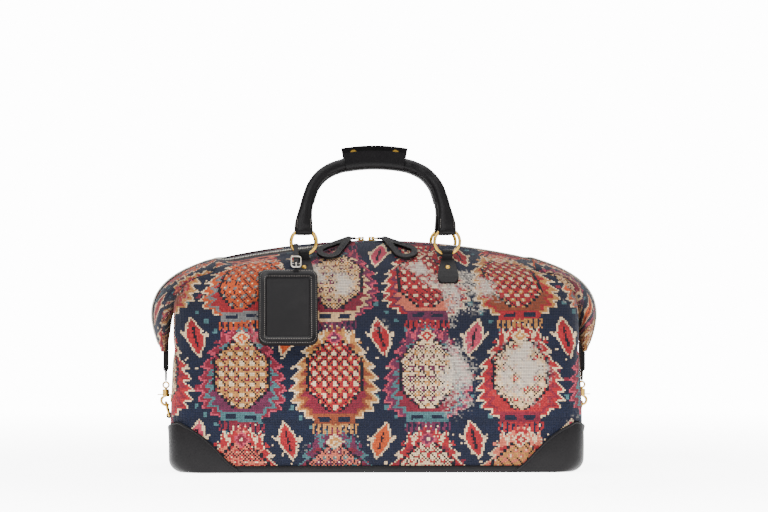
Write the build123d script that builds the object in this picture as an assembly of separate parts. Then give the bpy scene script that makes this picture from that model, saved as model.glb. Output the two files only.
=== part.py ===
from build123d import *
from math import asin, atan2, cos, degrees, hypot, radians, sin, sqrt
import os

# A soft carpet weekend bag with leather trim. Millimetres, +Z up.
# +X runs along the bag, -Y is its front, and the origin is the centre of the base on the floor.

# ---- bag body ----
base_length = 500.0
base_depth = 226.0
wall_bulge = 2.5        # how far the front stands proud of the base edge, half way up the wall
eave_height = 150.0     # where the upright wall turns into the sloping roof
eave_half = 106.0
ridge_height = 281.0
ridge_radius = 870.0    # the zip's long arch, seen from the front
roof_bow = 22.0         # how far the roof bows out from a straight slope
panel_thick = 3.0       # carpet, and the leather of the base
corner_round = 24.0     # upright corners, seen from above
foot_round = 16.0       # lower corners, seen from the front
base_rim = 8.5          # height of the leather base's upturned edge
rim_swell = 0.85
tray_round = 2.5
lining_thick = 1.0
board_thick = 3.0
layer_gap = 0.2

# ---- folded top corners ("ears") ----
wall_top = 214.0          # where the ends turn in towards the ridge
shoulder_x = 215.0
ear_outer_x = 273.0
ear_tip_z = 143.0
ear_tip_x = 265.5
ear_tip_inner_x = 257.5
ear_top_half = 74.0
ear_tip_half = 15.0

# ---- zip ----
mouth_half = 9.0
tape_drop = 1.6
tape_thick = 1.2
teeth_drop = 0.9
teeth_thick = 2.6
teeth_half = 3.0
teeth_split = 0.8
slider_length = 11.0
slider_half_width = 4.6
slider_plate = 1.5
slider_gap = 0.35
slider_places = {"left": -16.5, "right": -3.5}
bridge_pin = 0.8
pull_bore = 1.2

# ---- corner patches, chapes and rings ----
patch_thick = 1.5
patch_leg = 70.0
chape_x = 88.0
chape_y = 48.0
chape_fold_width = 13.0
fold_seat = 2.6         # how far a chape's fold stands off the roof
chape_foot_width = 30.0
chape_run = 27.36         # along the roof from its ring to its foot
rivet_share = 0.42        # of the way down it
chape_thick = 2.6
chape_lift = 0.25       # a chape's back stands this far off the curved carpet
ring_mean = 15.5
ring_wire = 2.0
bore_gap = 0.35
fold_wall = 1.8
rivet_r = 3.6
rivet_rise = 1.8

# ---- handles ----
grip_r = 7.75
core_r = 5.2
grip_rise = 93.5        # from the ring's top to the middle of the grip
grip_arch_r = 190.0
grip_arch_half = 56.0
grip_gap = 0.35         # between the keeper and the back grip
end_width = 20.0
end_height = 15.0
end_wall = 2.4
keeper_half = 37.0
keeper_wall = 2.3
keeper_front_lip = 13.5
keeper_back_lip = 20.5
snap_r = 4.2
snap_rise = 1.0

# ---- luggage tag ----
tag_lean = 34.0
strap_along = 9.8       # how far from the ring's middle its strap hangs
strap_width = 6.0
strap_thick = 1.5
strap_reach = 38.0
tag_width = 72.0
tag_length = 108.0
tag_thick = 3.6
tag_shift = 10.0        # the tag's middle lies this far outside its strap
tag_bar = 2.2
tag_bar_thick = 1.4
card_thick = 0.8
buckle_width = 13.4
buckle_height = 18.5
buckle_wire = 0.9

# ---- side clips ----
clip_x = 258.5
tab_width = 26.0
tab_thick = 6.0
tab_drop = 24.0
link_wire = 1.3
link_half = 9.5
link_height = 17.0
eye_mean = 3.6
eye_wire = 1.1
barrel_r = 4.2
barrel_height = 9.0
stem_r = 1.6
running = 0.06
prong_play = 0.1
gate_pin_r = 0.7
hook_open = radians(40)
hook_mean = 5.7
hook_wire = 1.6
d_ring_wire = 1.5
d_ring_half = 10.0
d_ring_height = 16.0
end_chape_width = 20.0
end_chape_height = 34.0

SIDES = {"left": -1, "right": 1}
FACES = {"front": -1, "back": 1}

os.makedirs("parts", exist_ok=True)
nodes = {}


def keep(name, shape):
    """Hold a finished node and write its STEP file."""
    nodes[name] = shape
    export_step(shape, f"parts/{name}.step")


def block(x, y, z):
    """A box given by its low and high coordinate along each axis."""
    size = [pair[1] - pair[0] for pair in (x, y, z)]
    middle = [(pair[1] + pair[0]) / 2 for pair in (x, y, z)]
    return Pos(*middle) * Box(*size)


def rod(start, end, radius):
    """A round bar between two points."""
    start, end = Vector(*start), Vector(*end)
    plane = Plane(origin=start, z_dir=end - start)
    return extrude(plane * Circle(radius), (end - start).length)


def along_x(x_range, y, z, radius):
    """A cylinder whose axis runs along X."""
    return rod((x_range[0], y, z), (x_range[1], y, z), radius)


# ---- body outlines ----
def side_outline():
    """The bag's cross section, seen from its end."""
    half = base_depth / 2
    chord_y, chord_z = eave_half - mouth_half, ridge_height - eave_height
    chord = hypot(chord_y, chord_z)
    roof_mid_y = (eave_half + mouth_half) / 2 + roof_bow * chord_z / chord
    roof_mid_z = (eave_height + ridge_height) / 2 + roof_bow * chord_y / chord
    wall_mid = (half + eave_half) / 2 + wall_bulge + 3.5
    right = ThreePointArc((half, 0), (wall_mid, eave_height / 2), (eave_half, eave_height))
    slope = ThreePointArc((eave_half, eave_height), (roof_mid_y, roof_mid_z), (mouth_half, ridge_height))
    top = Line((mouth_half, ridge_height), (-mouth_half, ridge_height))
    loop = Curve() + [right, slope, top]
    loop += [mirror(right, Plane.YZ), mirror(slope, Plane.YZ), Line((-half, 0), (half, 0))]
    return make_face(loop)


def ridge_z(x):
    """Height of the zip's arch at x."""
    return ridge_height - ridge_radius + sqrt(ridge_radius ** 2 - x * x)


def front_outline():
    """The body's silhouette from the front, without the ears."""
    half = base_length / 2
    shoulder_z = ridge_z(shoulder_x)
    outline = Curve() + [
        ThreePointArc((-shoulder_x, shoulder_z), (0, ridge_height), (shoulder_x, shoulder_z)),
        Polyline(
            (shoulder_x, shoulder_z),
            (half, wall_top),
            (half, 0),
            (-half, 0),
            (-half, wall_top),
            (-shoulder_x, shoulder_z),
        ),
    ]
    face = make_face(outline)
    feet = face.vertices().group_by(Axis.Y)[0]
    return fillet(feet, foot_round)


def crown(inset=0.0):
    """The right shoulder and the ear's outer edge, down to its tip, as three arcs moved in by inset."""
    share = inset * sqrt(0.5)
    start = (shoulder_x, ridge_z(shoulder_x) - inset)
    brow = (ear_outer_x - 7 - share, 217 - share)
    cheek = (ear_outer_x - inset, 192)
    return Curve() + [
        ThreePointArc(start, (246 - share, 236 - share), brow),
        ThreePointArc(brow, (ear_outer_x - 1.2 - inset, 205), cheek),
        ThreePointArc(cheek, (ear_outer_x - 1.6 - inset, 167), (ear_tip_x - inset, ear_tip_z)),
    ]


def ear_outline():
    """The right ear's silhouette: it goes over the shoulder and hangs outside the end."""
    half = base_length / 2
    inner = Polyline(
        (ear_tip_x, ear_tip_z),
        (ear_tip_inner_x, ear_tip_z),
        (half + 3.5, 172),
        (half + 2.0, 203),
        (half - 1.0, 210),
        (shoulder_x, ridge_z(shoulder_x) - 20),
        (shoulder_x, ridge_z(shoulder_x)),
    )
    return make_face(crown() + inner)


def upright(face, reach):
    """Stand an XY sketch up in the XZ plane and thicken it both ways along Y."""
    return extrude(Plane.XZ * face, reach, both=True)


def sideways(face, reach):
    """Stand an XY sketch up in the YZ plane and thicken it both ways along X."""
    return extrude(Plane.YZ * face, reach, both=True)


def shrink(face, inset):
    """The outline moved inwards by inset, or outwards where it is negative."""
    return face if inset == 0 else offset(face, -inset, kind=Kind.INTERSECTION)


def hull(inset):
    """The bag's outer form, each wall moved in by inset. The foot stays at its own height."""
    side = sideways(shrink(side_outline(), inset), base_length)
    front = upright(shrink(front_outline(), inset), base_depth)
    plan_depth = base_depth + 4 * wall_bulge - 2 * inset
    plan = RectangleRounded(base_length - 2 * inset, plan_depth, corner_round - inset)
    return side & front & extrude(plan, ridge_height * 2)


def ear_band(inset, thick, half_width):
    """A strip that follows the arch and both ears, inset below the surface."""
    outer = hull_front_with_ears(inset)
    inner = hull_front_with_ears(inset + thick)
    return (outer - inner) & block((-400, 400), half_width, (ear_tip_z + 4, 400))


def hull_front_with_ears(inset):
    """The front silhouette with its ears filled in below, as a slab moved in by inset."""
    start_z = ridge_z(shoulder_x) - inset
    tip_x = ear_tip_x - inset
    arch = ThreePointArc((-shoulder_x, start_z), (0, ridge_height - inset), (shoulder_x, start_z))
    floor = Polyline((tip_x, ear_tip_z), (tip_x - 8, 60), (8 - tip_x, 60), (-tip_x, ear_tip_z))
    return upright(make_face(crown(inset) + arch + floor + mirror(crown(inset), Plane.YZ)), 40)


def ear_solid(side):
    """One folded top corner: the silhouette, narrowing towards its tip."""
    top_z = ridge_z(shoulder_x) + 2
    taper = Polygon(
        (-ear_tip_half, ear_tip_z - 1),
        (ear_tip_half, ear_tip_z - 1),
        (ear_top_half, 228),
        (ear_top_half - 16, top_z),
        (16 - ear_top_half, top_z),
        (-ear_top_half, 228),
        align=None,
    )
    ear = upright(ear_outline(), 100) & sideways(taper, 400)
    return ear if side > 0 else mirror(ear, Plane.YZ)


def roof_arc():
    """Centre and radius of the roof's arc, in the end view."""
    chord_y, chord_z = eave_half - mouth_half, ridge_height - eave_height
    chord = hypot(chord_y, chord_z)
    radius = (chord ** 2 / 4 + roof_bow ** 2) / (2 * roof_bow)
    away = radius - roof_bow
    centre_y = (eave_half + mouth_half) / 2 - away * chord_z / chord
    centre_z = (eave_height + ridge_height) / 2 - away * chord_y / chord
    return centre_y, centre_z, radius


def roof_point(y):
    """Height and slope angle of the roof at a distance y in front of the ridge."""
    centre_y, centre_z, radius = roof_arc()
    lean = asin((y - centre_y) / radius)
    return centre_z + radius * cos(lean), degrees(lean)


outer = hull(0)
shell = outer - hull(panel_thick)
mouth = block((-shoulder_x - 6, shoulder_x + 6), (-mouth_half, mouth_half), (ridge_height - 60, 400))
gusset_x = base_length / 2 - panel_thick
ears = {name: ear_solid(side) for name, side in SIDES.items()}
zip_channel = ear_band(0, teeth_drop + teeth_thick + 0.6, (-mouth_half, mouth_half))
panels = (shell & block((-gusset_x, gusset_x), (-200, 200), (base_rim, 400))) - mouth
panels += [ear - outer for ear in ears.values()]
panels -= zip_channel

for name, side in FACES.items():
    near, far = sorted((0, side * 300))
    keep(f"carpet_{name}", panels & block((-400, 400), (near, far), (0, 400)))

for name, side in SIDES.items():
    near, far = sorted((side * gusset_x, side * 300))
    gusset = shell & block((near, far), (-200, 200), (base_rim, 400))
    keep(f"gusset_{name}", gusset - zip_channel)


rim_half_x = base_length / 2 - foot_round + sqrt(foot_round ** 2 - (foot_round - base_rim) ** 2)
rim_half_y = base_depth / 2 + rim_swell
tray_corner = corner_round - 2
tray = extrude(RectangleRounded(2 * rim_half_x, 2 * rim_half_y, tray_corner), base_rim)
tray = fillet(tray.edges().group_by(Axis.Z)[0], tray_round)
pocket_length = 2 * (rim_half_x - panel_thick)
pocket_depth = 2 * (rim_half_y - panel_thick)
pocket = RectangleRounded(pocket_length, pocket_depth, tray_corner - panel_thick)
tray -= Pos(0, 0, panel_thick) * extrude(pocket, base_rim)
keep("base_leather", tray)

# ---- inside ----
inner_room = hull(panel_thick + layer_gap)
board_low = panel_thick
board_high = board_low + board_thick
floor_low = board_high + layer_gap
keep("base_board", Pos(0, 0, board_low) * extrude(pocket, board_thick))
lining_room = inner_room & block((-300, 300), (-200, 200), (floor_low, 400))
hollow = hull(panel_thick + layer_gap + lining_thick)
hollow &= block((-300, 300), (-200, 200), (floor_low + lining_thick, 400))
lining = lining_room - hollow - mouth - tray
keep("lining", lining)

# ---- zip ----
split = teeth_split / 2
for name, side in FACES.items():
    near, far = sorted((side * teeth_half, side * mouth_half))
    keep(f"zip_tape_{name}", ear_band(tape_drop, tape_thick, (near, far)))
    near, far = sorted((side * split, side * teeth_half))
    keep(f"zip_teeth_{name}", ear_band(teeth_drop, teeth_thick, (near, far)))


def on_arch(x):
    """Carries a shape from the top of the arch to the place x along it."""
    centre = ridge_height - ridge_radius
    turn = degrees(asin(x / ridge_radius))
    return Pos(0, 0, centre) * Rot(0, turn, 0) * Pos(0, 0, -centre)


slider_top = ridge_height - teeth_drop + slider_gap
slider_under = ridge_height - teeth_drop - teeth_thick - slider_gap
bridge_z = slider_top + slider_plate + 1.9
bridge_x = 2.5
sliders = {}
for name, side in SIDES.items():
    plate = Box(slider_length, 2 * slider_half_width, slider_plate)
    top = Pos(0, 0, slider_top + slider_plate / 2) * plate
    under = Pos(0, 0, slider_under - slider_plate / 2) * plate
    wedge = block((-1.6, 1.6), (-split + 0.1, split - 0.1), (slider_under, slider_top))
    bridge = block((-3.6, 3.6), (-1.2, 1.2), (slider_top + slider_plate, bridge_z + 2.2))
    eye = rod((0, -2, bridge_z), (0, 2, bridge_z), pull_bore)
    slider = (top + under + wedge + bridge) - eye
    sliders[name] = on_arch(slider_places[name]) * slider
    keep(f"zip_slider_{name}", sliders[name])

# Each pull is a metal shackle in the slider's bridge with a leather loop lying down the front roof.
nose_x = 9.0
pull_start = (12.0, -9.0, 284.4)
pull_end = (54.0, -52.0, 257.6)
pull_length = 60.0
pull_strap = 7.5
pull_thick = 3.2
pull_half = 15.0
pull_neck_x = 6.0
pull_eye_x = 24.0
pull_eye_r = 1.2


def shackle():
    """A wire hoop through the bridge, lying towards +X, ending in a flat eye for the leather."""
    axle = rod((0, -3.4, bridge_z), (0, 3.4, bridge_z), pull_bore - running - 0.34)
    arms = Part() + [rod((0, y, bridge_z), (nose_x, y, bridge_z), 0.95) for y in (-3.2, 3.2)]
    nose = rod((nose_x, -4.2, bridge_z), (nose_x, 4.2, bridge_z), 1.1)
    return axle + arms + nose


def leather_loop():
    """A teardrop of strap, laid flat with its neck at the origin and its belly towards +X."""
    belly = pull_length - pull_half
    neck = Pos(pull_neck_x, 0) * Circle(pull_strap / 2)
    eye_tip = Pos(pull_eye_x, 0) * Circle(pull_eye_r)
    outline = make_hull((Pos(belly, 0) * Circle(pull_half)).edges() + neck.edges())
    eye = make_hull((Pos(belly, 0) * Circle(pull_half - pull_strap)).edges() + eye_tip.edges())
    return extrude(outline - eye, pull_thick, dir=(0, 0, 1))


neck_x = (nose_x - 1.8, pull_start[0] + 3)
neck_y = (pull_start[1] - 3, 3.6)
pull_neck = block(neck_x, neck_y, (bridge_z - 1.5, bridge_z + 1.7))
run = Vector(*pull_end) - Vector(*pull_start)
loop_plane = Plane(origin=pull_start, x_dir=run, z_dir=(0, run.Z, -run.Y))
for name, side in SIDES.items():
    place = on_arch(slider_places[name])
    wire = shackle()
    leather = loop_plane * leather_loop() + pull_neck
    if side < 0:
        wire = mirror(wire, Plane.YZ)
        leather = mirror(leather, Plane.YZ)
    keep(f"pull_shackle_{name}", place * wire)
    keep(f"pull_loop_{name}", Pos(slider_places[name], 0, 0) * leather - place * wire)

# ---- corner patches ----
patches = hull(-patch_thick) - outer
patch_side = Polygon((0, 0), (patch_leg, 0), (0, patch_leg), align=None)
for face_name, face in FACES.items():
    for side_name, side in SIDES.items():
        corner = Pos(side * (base_length / 2 + 4), 0, -4) * Rot(90, 0, 0) * (
            patch_side if side < 0 else mirror(patch_side, Plane.YZ)
        )
        near, far = sorted((face * (base_depth / 2 - 46), face * 300))
        wedge = extrude(corner, 300, both=True) & block((-300, 300), (near, far), (base_rim, 400))
        keep(f"corner_patch_{face_name}_{side_name}", patches & wedge)

# ---- chapes and rings ----


def wire_in_bore(half_width):
    """How far a ring's curved wire rises over half_width, and the bore that it turns freely in."""
    drop = sqrt(ring_mean ** 2 - half_width ** 2)
    rise = ring_mean - drop
    return rise, rise / 2 + ring_wire * ring_mean / drop + bore_gap


ring_rise, fold_bore = wire_in_bore(chape_fold_width / 2)
fold_outer = fold_bore + fold_wall
roof_here, roof_lean = roof_point(chape_y)
axis_y = chape_y
axis_z = roof_here + fold_outer + fold_seat
ring_z = axis_z - ring_rise / 2 + ring_mean
end_drop, end_bore = wire_in_bore(end_width / 2)
handle_axis_z = ring_z + ring_mean - end_drop / 2


def chape(x):
    """A leather tab sewn to the front roof, folded round its ring's lower wire."""
    fold = along_x((x - chape_fold_width / 2, x + chape_fold_width / 2), -axis_y, axis_z, fold_outer)
    steps = 5
    lower = []
    upper = []
    for step in range(steps + 1):
        y = axis_y + step * chape_run / steps
        z, lean = roof_point(y)
        out_y, out_z = sin(radians(lean)), cos(radians(lean))
        lower.append((-y - chape_lift * out_y, z + chape_lift * out_z))
        upper.append((-y - (chape_lift + chape_thick) * out_y, z + (chape_lift + chape_thick) * out_z))
    strip = extrude(Plane.YZ * make_face(Polyline(*lower, *reversed(upper), lower[0])), 60, both=True)
    foot_y = -lower[-1][0]
    plan = Polygon(
        (-chape_fold_width / 2, -axis_y + 1),
        (chape_fold_width / 2, -axis_y + 1),
        (chape_foot_width / 2, -foot_y - 2),
        (-chape_foot_width / 2, -foot_y - 2),
        align=None,
    )
    plan = fillet(plan.vertices().group_by(Axis.Y)[0], 7)
    leather = Pos(x, 0, 0) * (strip & extrude(plan, 400, both=True))
    neck_low = roof_point(axis_y)[0] + 0.4
    across = (x - chape_fold_width / 2, x + chape_fold_width / 2)
    neck = block(across, (-axis_y - 4.5, -axis_y + 2), (neck_low, axis_z))
    bore = along_x((x - 30, x + 30), -axis_y, axis_z, fold_bore)
    return (leather + fold + neck) - bore - outer


def chape_rivet(x):
    """The domed head that clamps a chape, half way down its leather."""
    y = axis_y + chape_run * rivet_share
    z, lean = roof_point(y)
    rise = chape_thick + chape_lift
    seat = Pos(x, -y - rise * sin(radians(lean)), z + rise * cos(radians(lean))) * Rot(lean, 0, 0)
    cap = Pos(0, 0, rivet_rise / 2) * Box(4 * rivet_r, 4 * rivet_r, rivet_rise)
    return seat * (Pos(0, 0, rivet_rise - rivet_r) * Sphere(rivet_r) & cap)


def to_back(shape):
    """The same piece on the other face of the bag."""
    return mirror(shape, Plane.XZ)


rivets = Part()
front_chapes = {}
for side_name, side in SIDES.items():
    tab = chape(side * chape_x)
    ring = Pos(side * chape_x, -axis_y, ring_z) * Rot(90, 0, 0) * Torus(ring_mean, ring_wire)
    dome = chape_rivet(side * chape_x)
    front_chapes[side_name] = tab
    keep(f"chape_back_{side_name}", to_back(tab))
    keep(f"ring_front_{side_name}", ring)
    keep(f"ring_back_{side_name}", to_back(ring))
    rivets += [dome, to_back(dome)]
keep("chape_rivets", rivets)

# ---- handles ----
# Each is drawn upright with its ring axis at the origin, then leaned inwards about that axis.
arch_centre = grip_rise - grip_arch_r
keeper_outer = grip_r + keeper_wall
front_grip_y = -(keeper_outer + grip_gap / 2)
back_grip_y = grip_r + grip_gap / 2
grip_lean = {
    "front": degrees(asin((axis_y + front_grip_y) / grip_rise)),
    "back": degrees(asin((axis_y - back_grip_y) / grip_rise)),
}


def grip_path():
    """Up from one ring, over the grip's low arch, and down to the other, in the XZ plane."""
    end_z = arch_centre + sqrt(grip_arch_r ** 2 - grip_arch_half ** 2)
    brow = (grip_arch_half, end_z)
    slope = asin(grip_arch_half / grip_arch_r)
    top = ThreePointArc((-grip_arch_half, end_z), (0, grip_rise), brow)
    knee = TangentArc(brow, (79.5, 50), tangent=(cos(slope), -sin(slope)))
    leg = TangentArc(knee @ 1, (chape_x - 0.5, end_height - 4), tangent=knee % 1)
    path = Curve() + [top, knee, leg, mirror(knee, Plane.YZ), mirror(leg, Plane.YZ)]
    return Plane.XZ * path


def grip_bar(radius):
    """A round bar along the grip's path."""
    path = grip_path()
    wire = Wire(path.edges())
    start = wire @ 0
    section = Plane(origin=start, z_dir=wire % 0) * Circle(radius)
    return sweep(section, path=wire)


def handle_end(x):
    """The flattened foot of a handle, folded round the ring's upper wire."""
    half = end_width / 2
    outer_r = end_bore + end_wall
    fold = along_x((x - half, x + half), 0, 0, outer_r)
    body = block((x - half, x + half), (-outer_r + 0.6, outer_r - 0.6), (0, end_height))
    body = fillet(body.edges().filter_by(Axis.Z), 3)
    bore = along_x((x - 30, x + 30), 0, 0, end_bore)
    return fold + body - bore


cord = grip_bar(core_r)
cord &= block((-200, 200), (-50, 50), (end_height + 4, 200))
leather_bar = grip_bar(grip_r)
feet = Part() + [handle_end(side * chape_x) for side in SIDES.values()]
gap_box = []
for side in SIDES.values():
    gap_box.append(block((side * chape_x - 40, side * chape_x + 40), (-50, 50), (-40, end_height - 5)))
handle = (leather_bar - gap_box[0] - gap_box[1]) + feet - cord


def keeper_wrap():
    """The sleeve on the front grip: closed below, its two lips standing open above."""
    lip = Pos(0, keeper_back_lip / 2) * Rectangle(2 * keeper_outer, keeper_back_lip)
    outline = Circle(keeper_outer) + lip
    outline -= Circle(grip_r) + Pos(0, 30) * Rectangle(2 * grip_r, 60)
    outline -= Pos(keeper_outer - 2, keeper_front_lip + 20) * Rectangle(2 * keeper_outer, 40)
    return outline


half_turn = degrees(asin(keeper_half / grip_arch_r))
grip_section = Plane(origin=(0, 0, grip_rise), x_dir=(0, 1, 0), z_dir=(1, 0, 0))
wrap_face = grip_section * Rot(0, 0, grip_lean["front"]) * mirror(keeper_wrap(), Plane.YZ)
wrap_axis = Axis((0, 0, arch_centre), (0, 1, 0))
wrap_start = Pos(0, 0, arch_centre) * Rot(0, -half_turn, 0) * Pos(0, 0, -arch_centre) * wrap_face
wrap = revolve(wrap_start, wrap_axis, 2 * half_turn)


def stand_up(shape, face_name):
    """Set a handle piece on its ring axis, leaning inwards."""
    shape = Pos(0, -axis_y, handle_axis_z) * Rot(-grip_lean[face_name], 0, 0) * shape
    return shape if face_name == "front" else to_back(shape)


for face_name in FACES:
    keep(f"handle_{face_name}", stand_up(handle, face_name))
    keep(f"handle_cord_{face_name}", stand_up(cord, face_name))
grip_top_z = handle_axis_z + grip_rise * cos(radians(grip_lean["front"]))
snap_x = 26.0
snap_fall = grip_arch_r - sqrt(grip_arch_r ** 2 - snap_x ** 2)
snap_y = front_grip_y + grip_r - snap_fall * sin(radians(grip_lean["front"])) - 0.1
snap_z = grip_top_z + keeper_back_lip - 8 - snap_fall
snaps = Part()
for x in (-snap_x, snap_x):
    snaps += rod((x, snap_y - snap_rise, snap_z), (x, snap_y, snap_z), snap_r)
keep("keeper_snaps", snaps)
keep("keeper", stand_up(wrap, "front") - snaps)

# ---- luggage tag ----
# Drawn hanging straight down from its loop's centre, then leaned forwards to lie along the roof.
inner_edge, outer_edge = strap_along + strap_width / 2, strap_along - strap_width / 2
wire_high = sqrt((ring_mean - ring_wire) ** 2 - inner_edge ** 2)
wire_low = sqrt((ring_mean + ring_wire) ** 2 - outer_edge ** 2)
strap_x = -chape_x - strap_along
strap_z = ring_z - (wire_high + wire_low) / 2
strap_bore = (wire_low - wire_high) / 2 + bore_gap
bar_r = hypot(tag_bar, tag_bar_thick) + bore_gap
tag_stand = chape_thick + bar_r + strap_thick + 0.6
lean = radians(tag_lean)
arc_y, arc_z, arc_r = roof_arc()
off_line = cos(lean) * (axis_y - arc_y) + sin(lean) * (strap_z - arc_z) - arc_r - tag_stand
along_line = sqrt(strap_reach ** 2 - off_line ** 2)
bar_y = axis_y - off_line * cos(lean) + along_line * sin(lean)
bar_z = strap_z - off_line * sin(lean) - along_line * cos(lean)
strap_lean = degrees(atan2(bar_y - axis_y, strap_z - bar_z))


def on_ring(shape):
    """Carry a strap piece to its ring and lean it towards the tag's bar."""
    return Pos(strap_x, -axis_y, strap_z) * Rot(-strap_lean, 0, 0) * shape


def on_bar(shape):
    """Carry a tag piece to its bar and lean it along the roof."""
    return Pos(strap_x, -bar_y, bar_z) * Rot(-tag_lean, 0, 0) * shape


def strap_body(extra):
    """Both circles that the strap goes round, joined by their tangents, seen from the side."""
    upper = Circle(strap_bore + extra)
    lower = Pos(0, -strap_reach) * Circle(bar_r + extra)
    return make_hull(upper.edges() + lower.edges())


strap_face = strap_body(strap_thick) - strap_body(0)
strap = extrude(Plane.YZ * strap_face, strap_width / 2, both=True)
front_tilt = asin((strap_bore - bar_r) / strap_reach)

# The strap's loop hangs over the left chape's corner, and has pressed a hollow in it as the ring folds down.
strap_room = 0.3
strap_swell = strap_body(strap_thick + strap_room) - strap_body(-strap_room)
pressed = on_ring(extrude(Plane.YZ * strap_swell, strap_width / 2 + strap_room, both=True))
strap_rise = strap_z - axis_z
for ring_turn in range(0, 100, 5):
    turn = radians(ring_turn)
    front_chapes["left"] -= Pos(0, -strap_rise * sin(turn), -strap_rise * (1 - cos(turn))) * pressed
for side_name, tab in front_chapes.items():
    keep(f"chape_front_{side_name}", tab)

buckle_drop = 27.0
strand_y = -(strap_bore + strap_thick / 2 - buckle_drop * sin(front_tilt)) / cos(front_tilt)


def on_strand(shape):
    """Carry a buckle piece to the strap's front strand."""
    return Pos(0, strand_y, -buckle_drop) * Rot(degrees(front_tilt), 0, 0) * shape


def buckle_frame():
    """A rounded wire rectangle in front of the strand, with a centre bar behind it."""
    front = -(strap_thick / 2 + buckle_wire + 0.1)
    behind = strap_thick / 2 + buckle_wire + 0.15
    half_w, half_h = buckle_width / 2 - buckle_wire, buckle_height / 2 - buckle_wire
    path = Plane.XZ.offset(-front) * RectangleRounded(2 * half_w, 2 * half_h, 3.2)
    wire = path.faces()[0].outer_wire()
    section = Plane(origin=wire @ 0, z_dir=wire % 0) * Circle(buckle_wire)
    frame = sweep(section, path=wire)
    posts = Part() + [rod((x, front, 0), (x, behind, 0), buckle_wire * 0.8) for x in (-half_w, half_w)]
    bar = rod((-half_w, behind, 0), (half_w, behind, 0), buckle_wire * 0.8)
    return frame + posts + bar


def buckle_prong():
    """A pin looped on the centre bar, out through the strap and down on the frame's lower bar."""
    behind = strap_thick / 2 + buckle_wire + 0.15
    front = -(strap_thick / 2 + 2 * buckle_wire + 0.95)
    wrap_r = buckle_wire * 0.8
    loop = rod((-1.1, behind, 0), (1.1, behind, 0), wrap_r + 0.8)
    shank = rod((0, behind, 0), (0, front, -2.6), 0.65)
    tip = rod((0, front, -2.6), (0, front, -buckle_height / 2 - 0.6), 0.65)
    knuckle = Pos(0, front, -2.6) * Sphere(0.65)
    return loop + shank + tip + knuckle - rod((-9, behind, 0), (9, behind, 0), wrap_r + prong_play)


prong_slot = on_strand(block((-1.5, 1.5), (-strap_thick, strap_thick), (-4.0, 2.4)))
frame = on_strand(buckle_frame())
keep("tag_strap", on_ring(strap - prong_slot))
keep("buckle_frame", on_ring(frame))
keep("buckle_prong", on_ring(on_strand(buckle_prong())))

tag_top = tag_bar
tag_middle_z = tag_top - tag_length / 2
slot_half = bar_r + strap_thick + 1.6
tag_plan = Pos(-tag_shift, tag_middle_z) * RectangleRounded(tag_width, tag_length, 11)
slot = Pos(0, -tag_bar - slot_half / 2) * RectangleRounded(strap_width + 1.2, slot_half, 1.2)
case = extrude(Plane.XZ * (tag_plan - slot), tag_thick / 2, both=True)
thin = block((-strap_width, strap_width), (-20, -tag_bar_thick), (-tag_bar - 0.6, tag_top + 1))
case = case - thin - mirror(thin, Plane.XZ)
card_room = Pos(-tag_shift, 0, tag_middle_z - 8) * Box(tag_width - 16, card_thick + 0.1, tag_length - 36)
card = Pos(-tag_shift, 0, tag_middle_z - 8) * Box(tag_width - 17, card_thick, tag_length - 37)
keep("tag_case", on_bar(case - card_room))
keep("tag_card", on_bar(card))

# ---- side clips, drawn on the right and mirrored ----
tab_low = ear_tip_z - tab_drop
link_top_z = tab_low + 3.4
link_low_z = link_top_z - link_height
eye_z = link_low_z + link_wire - eye_wire - eye_mean + 0.1
barrel_top = eye_z - eye_mean - eye_wire - 0.6
barrel_low = barrel_top - barrel_height
hook_z = barrel_low - hook_mean + 0.8
gate_x = clip_x - hook_mean
gate_pin_z = barrel_low + 2.4
ring_bar_x = base_length / 2 + 4.2
d_ring_top_z = hook_z - hook_mean + hook_wire + d_ring_wire + 0.5
d_ring_low_z = d_ring_top_z - d_ring_height


def ear_tab():
    """Folded leather tab sewn over the ear's tip, holding the link's top bar."""
    half = tab_width / 2
    through = (clip_x - tab_thick / 2, clip_x + tab_thick / 2)
    plate = block(through, (-half, half), (tab_low + 3.4, ear_tip_z + 12))
    fold = rod((clip_x, -half, tab_low + 3.4), (clip_x, half, tab_low + 3.4), tab_thick / 2)
    window_top = link_top_z + link_wire + 0.5
    window_x = (clip_x - 9, clip_x + 9)
    windows = [
        block(window_x, sorted((turn * 5.5, turn * (link_half + 2.2))), (tab_low - 1, window_top))
        for turn in (-1, 1)
    ]
    bore = rod((clip_x, -half - 1, link_top_z), (clip_x, half + 1, link_top_z), link_wire + 0.1)
    return plate + fold - bore - windows[0] - windows[1]


def end_chape():
    """Leather keeper of the lower ring, sewn to the end panel."""
    half = end_chape_width / 2
    face_x = base_length / 2
    low = d_ring_low_z - end_chape_height + 8
    plate = block((face_x, face_x + 2.6), (-half, half), (low, d_ring_low_z))
    fold = rod((ring_bar_x, -half + 2, d_ring_low_z), (ring_bar_x, half - 2, d_ring_low_z), 3.6)
    fold &= block((face_x, face_x + 20), (-half, half), (0, 400))
    bore = rod((ring_bar_x, -30, d_ring_low_z), (ring_bar_x, 30, d_ring_low_z), d_ring_wire + running)
    return plate + fold - bore


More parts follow.
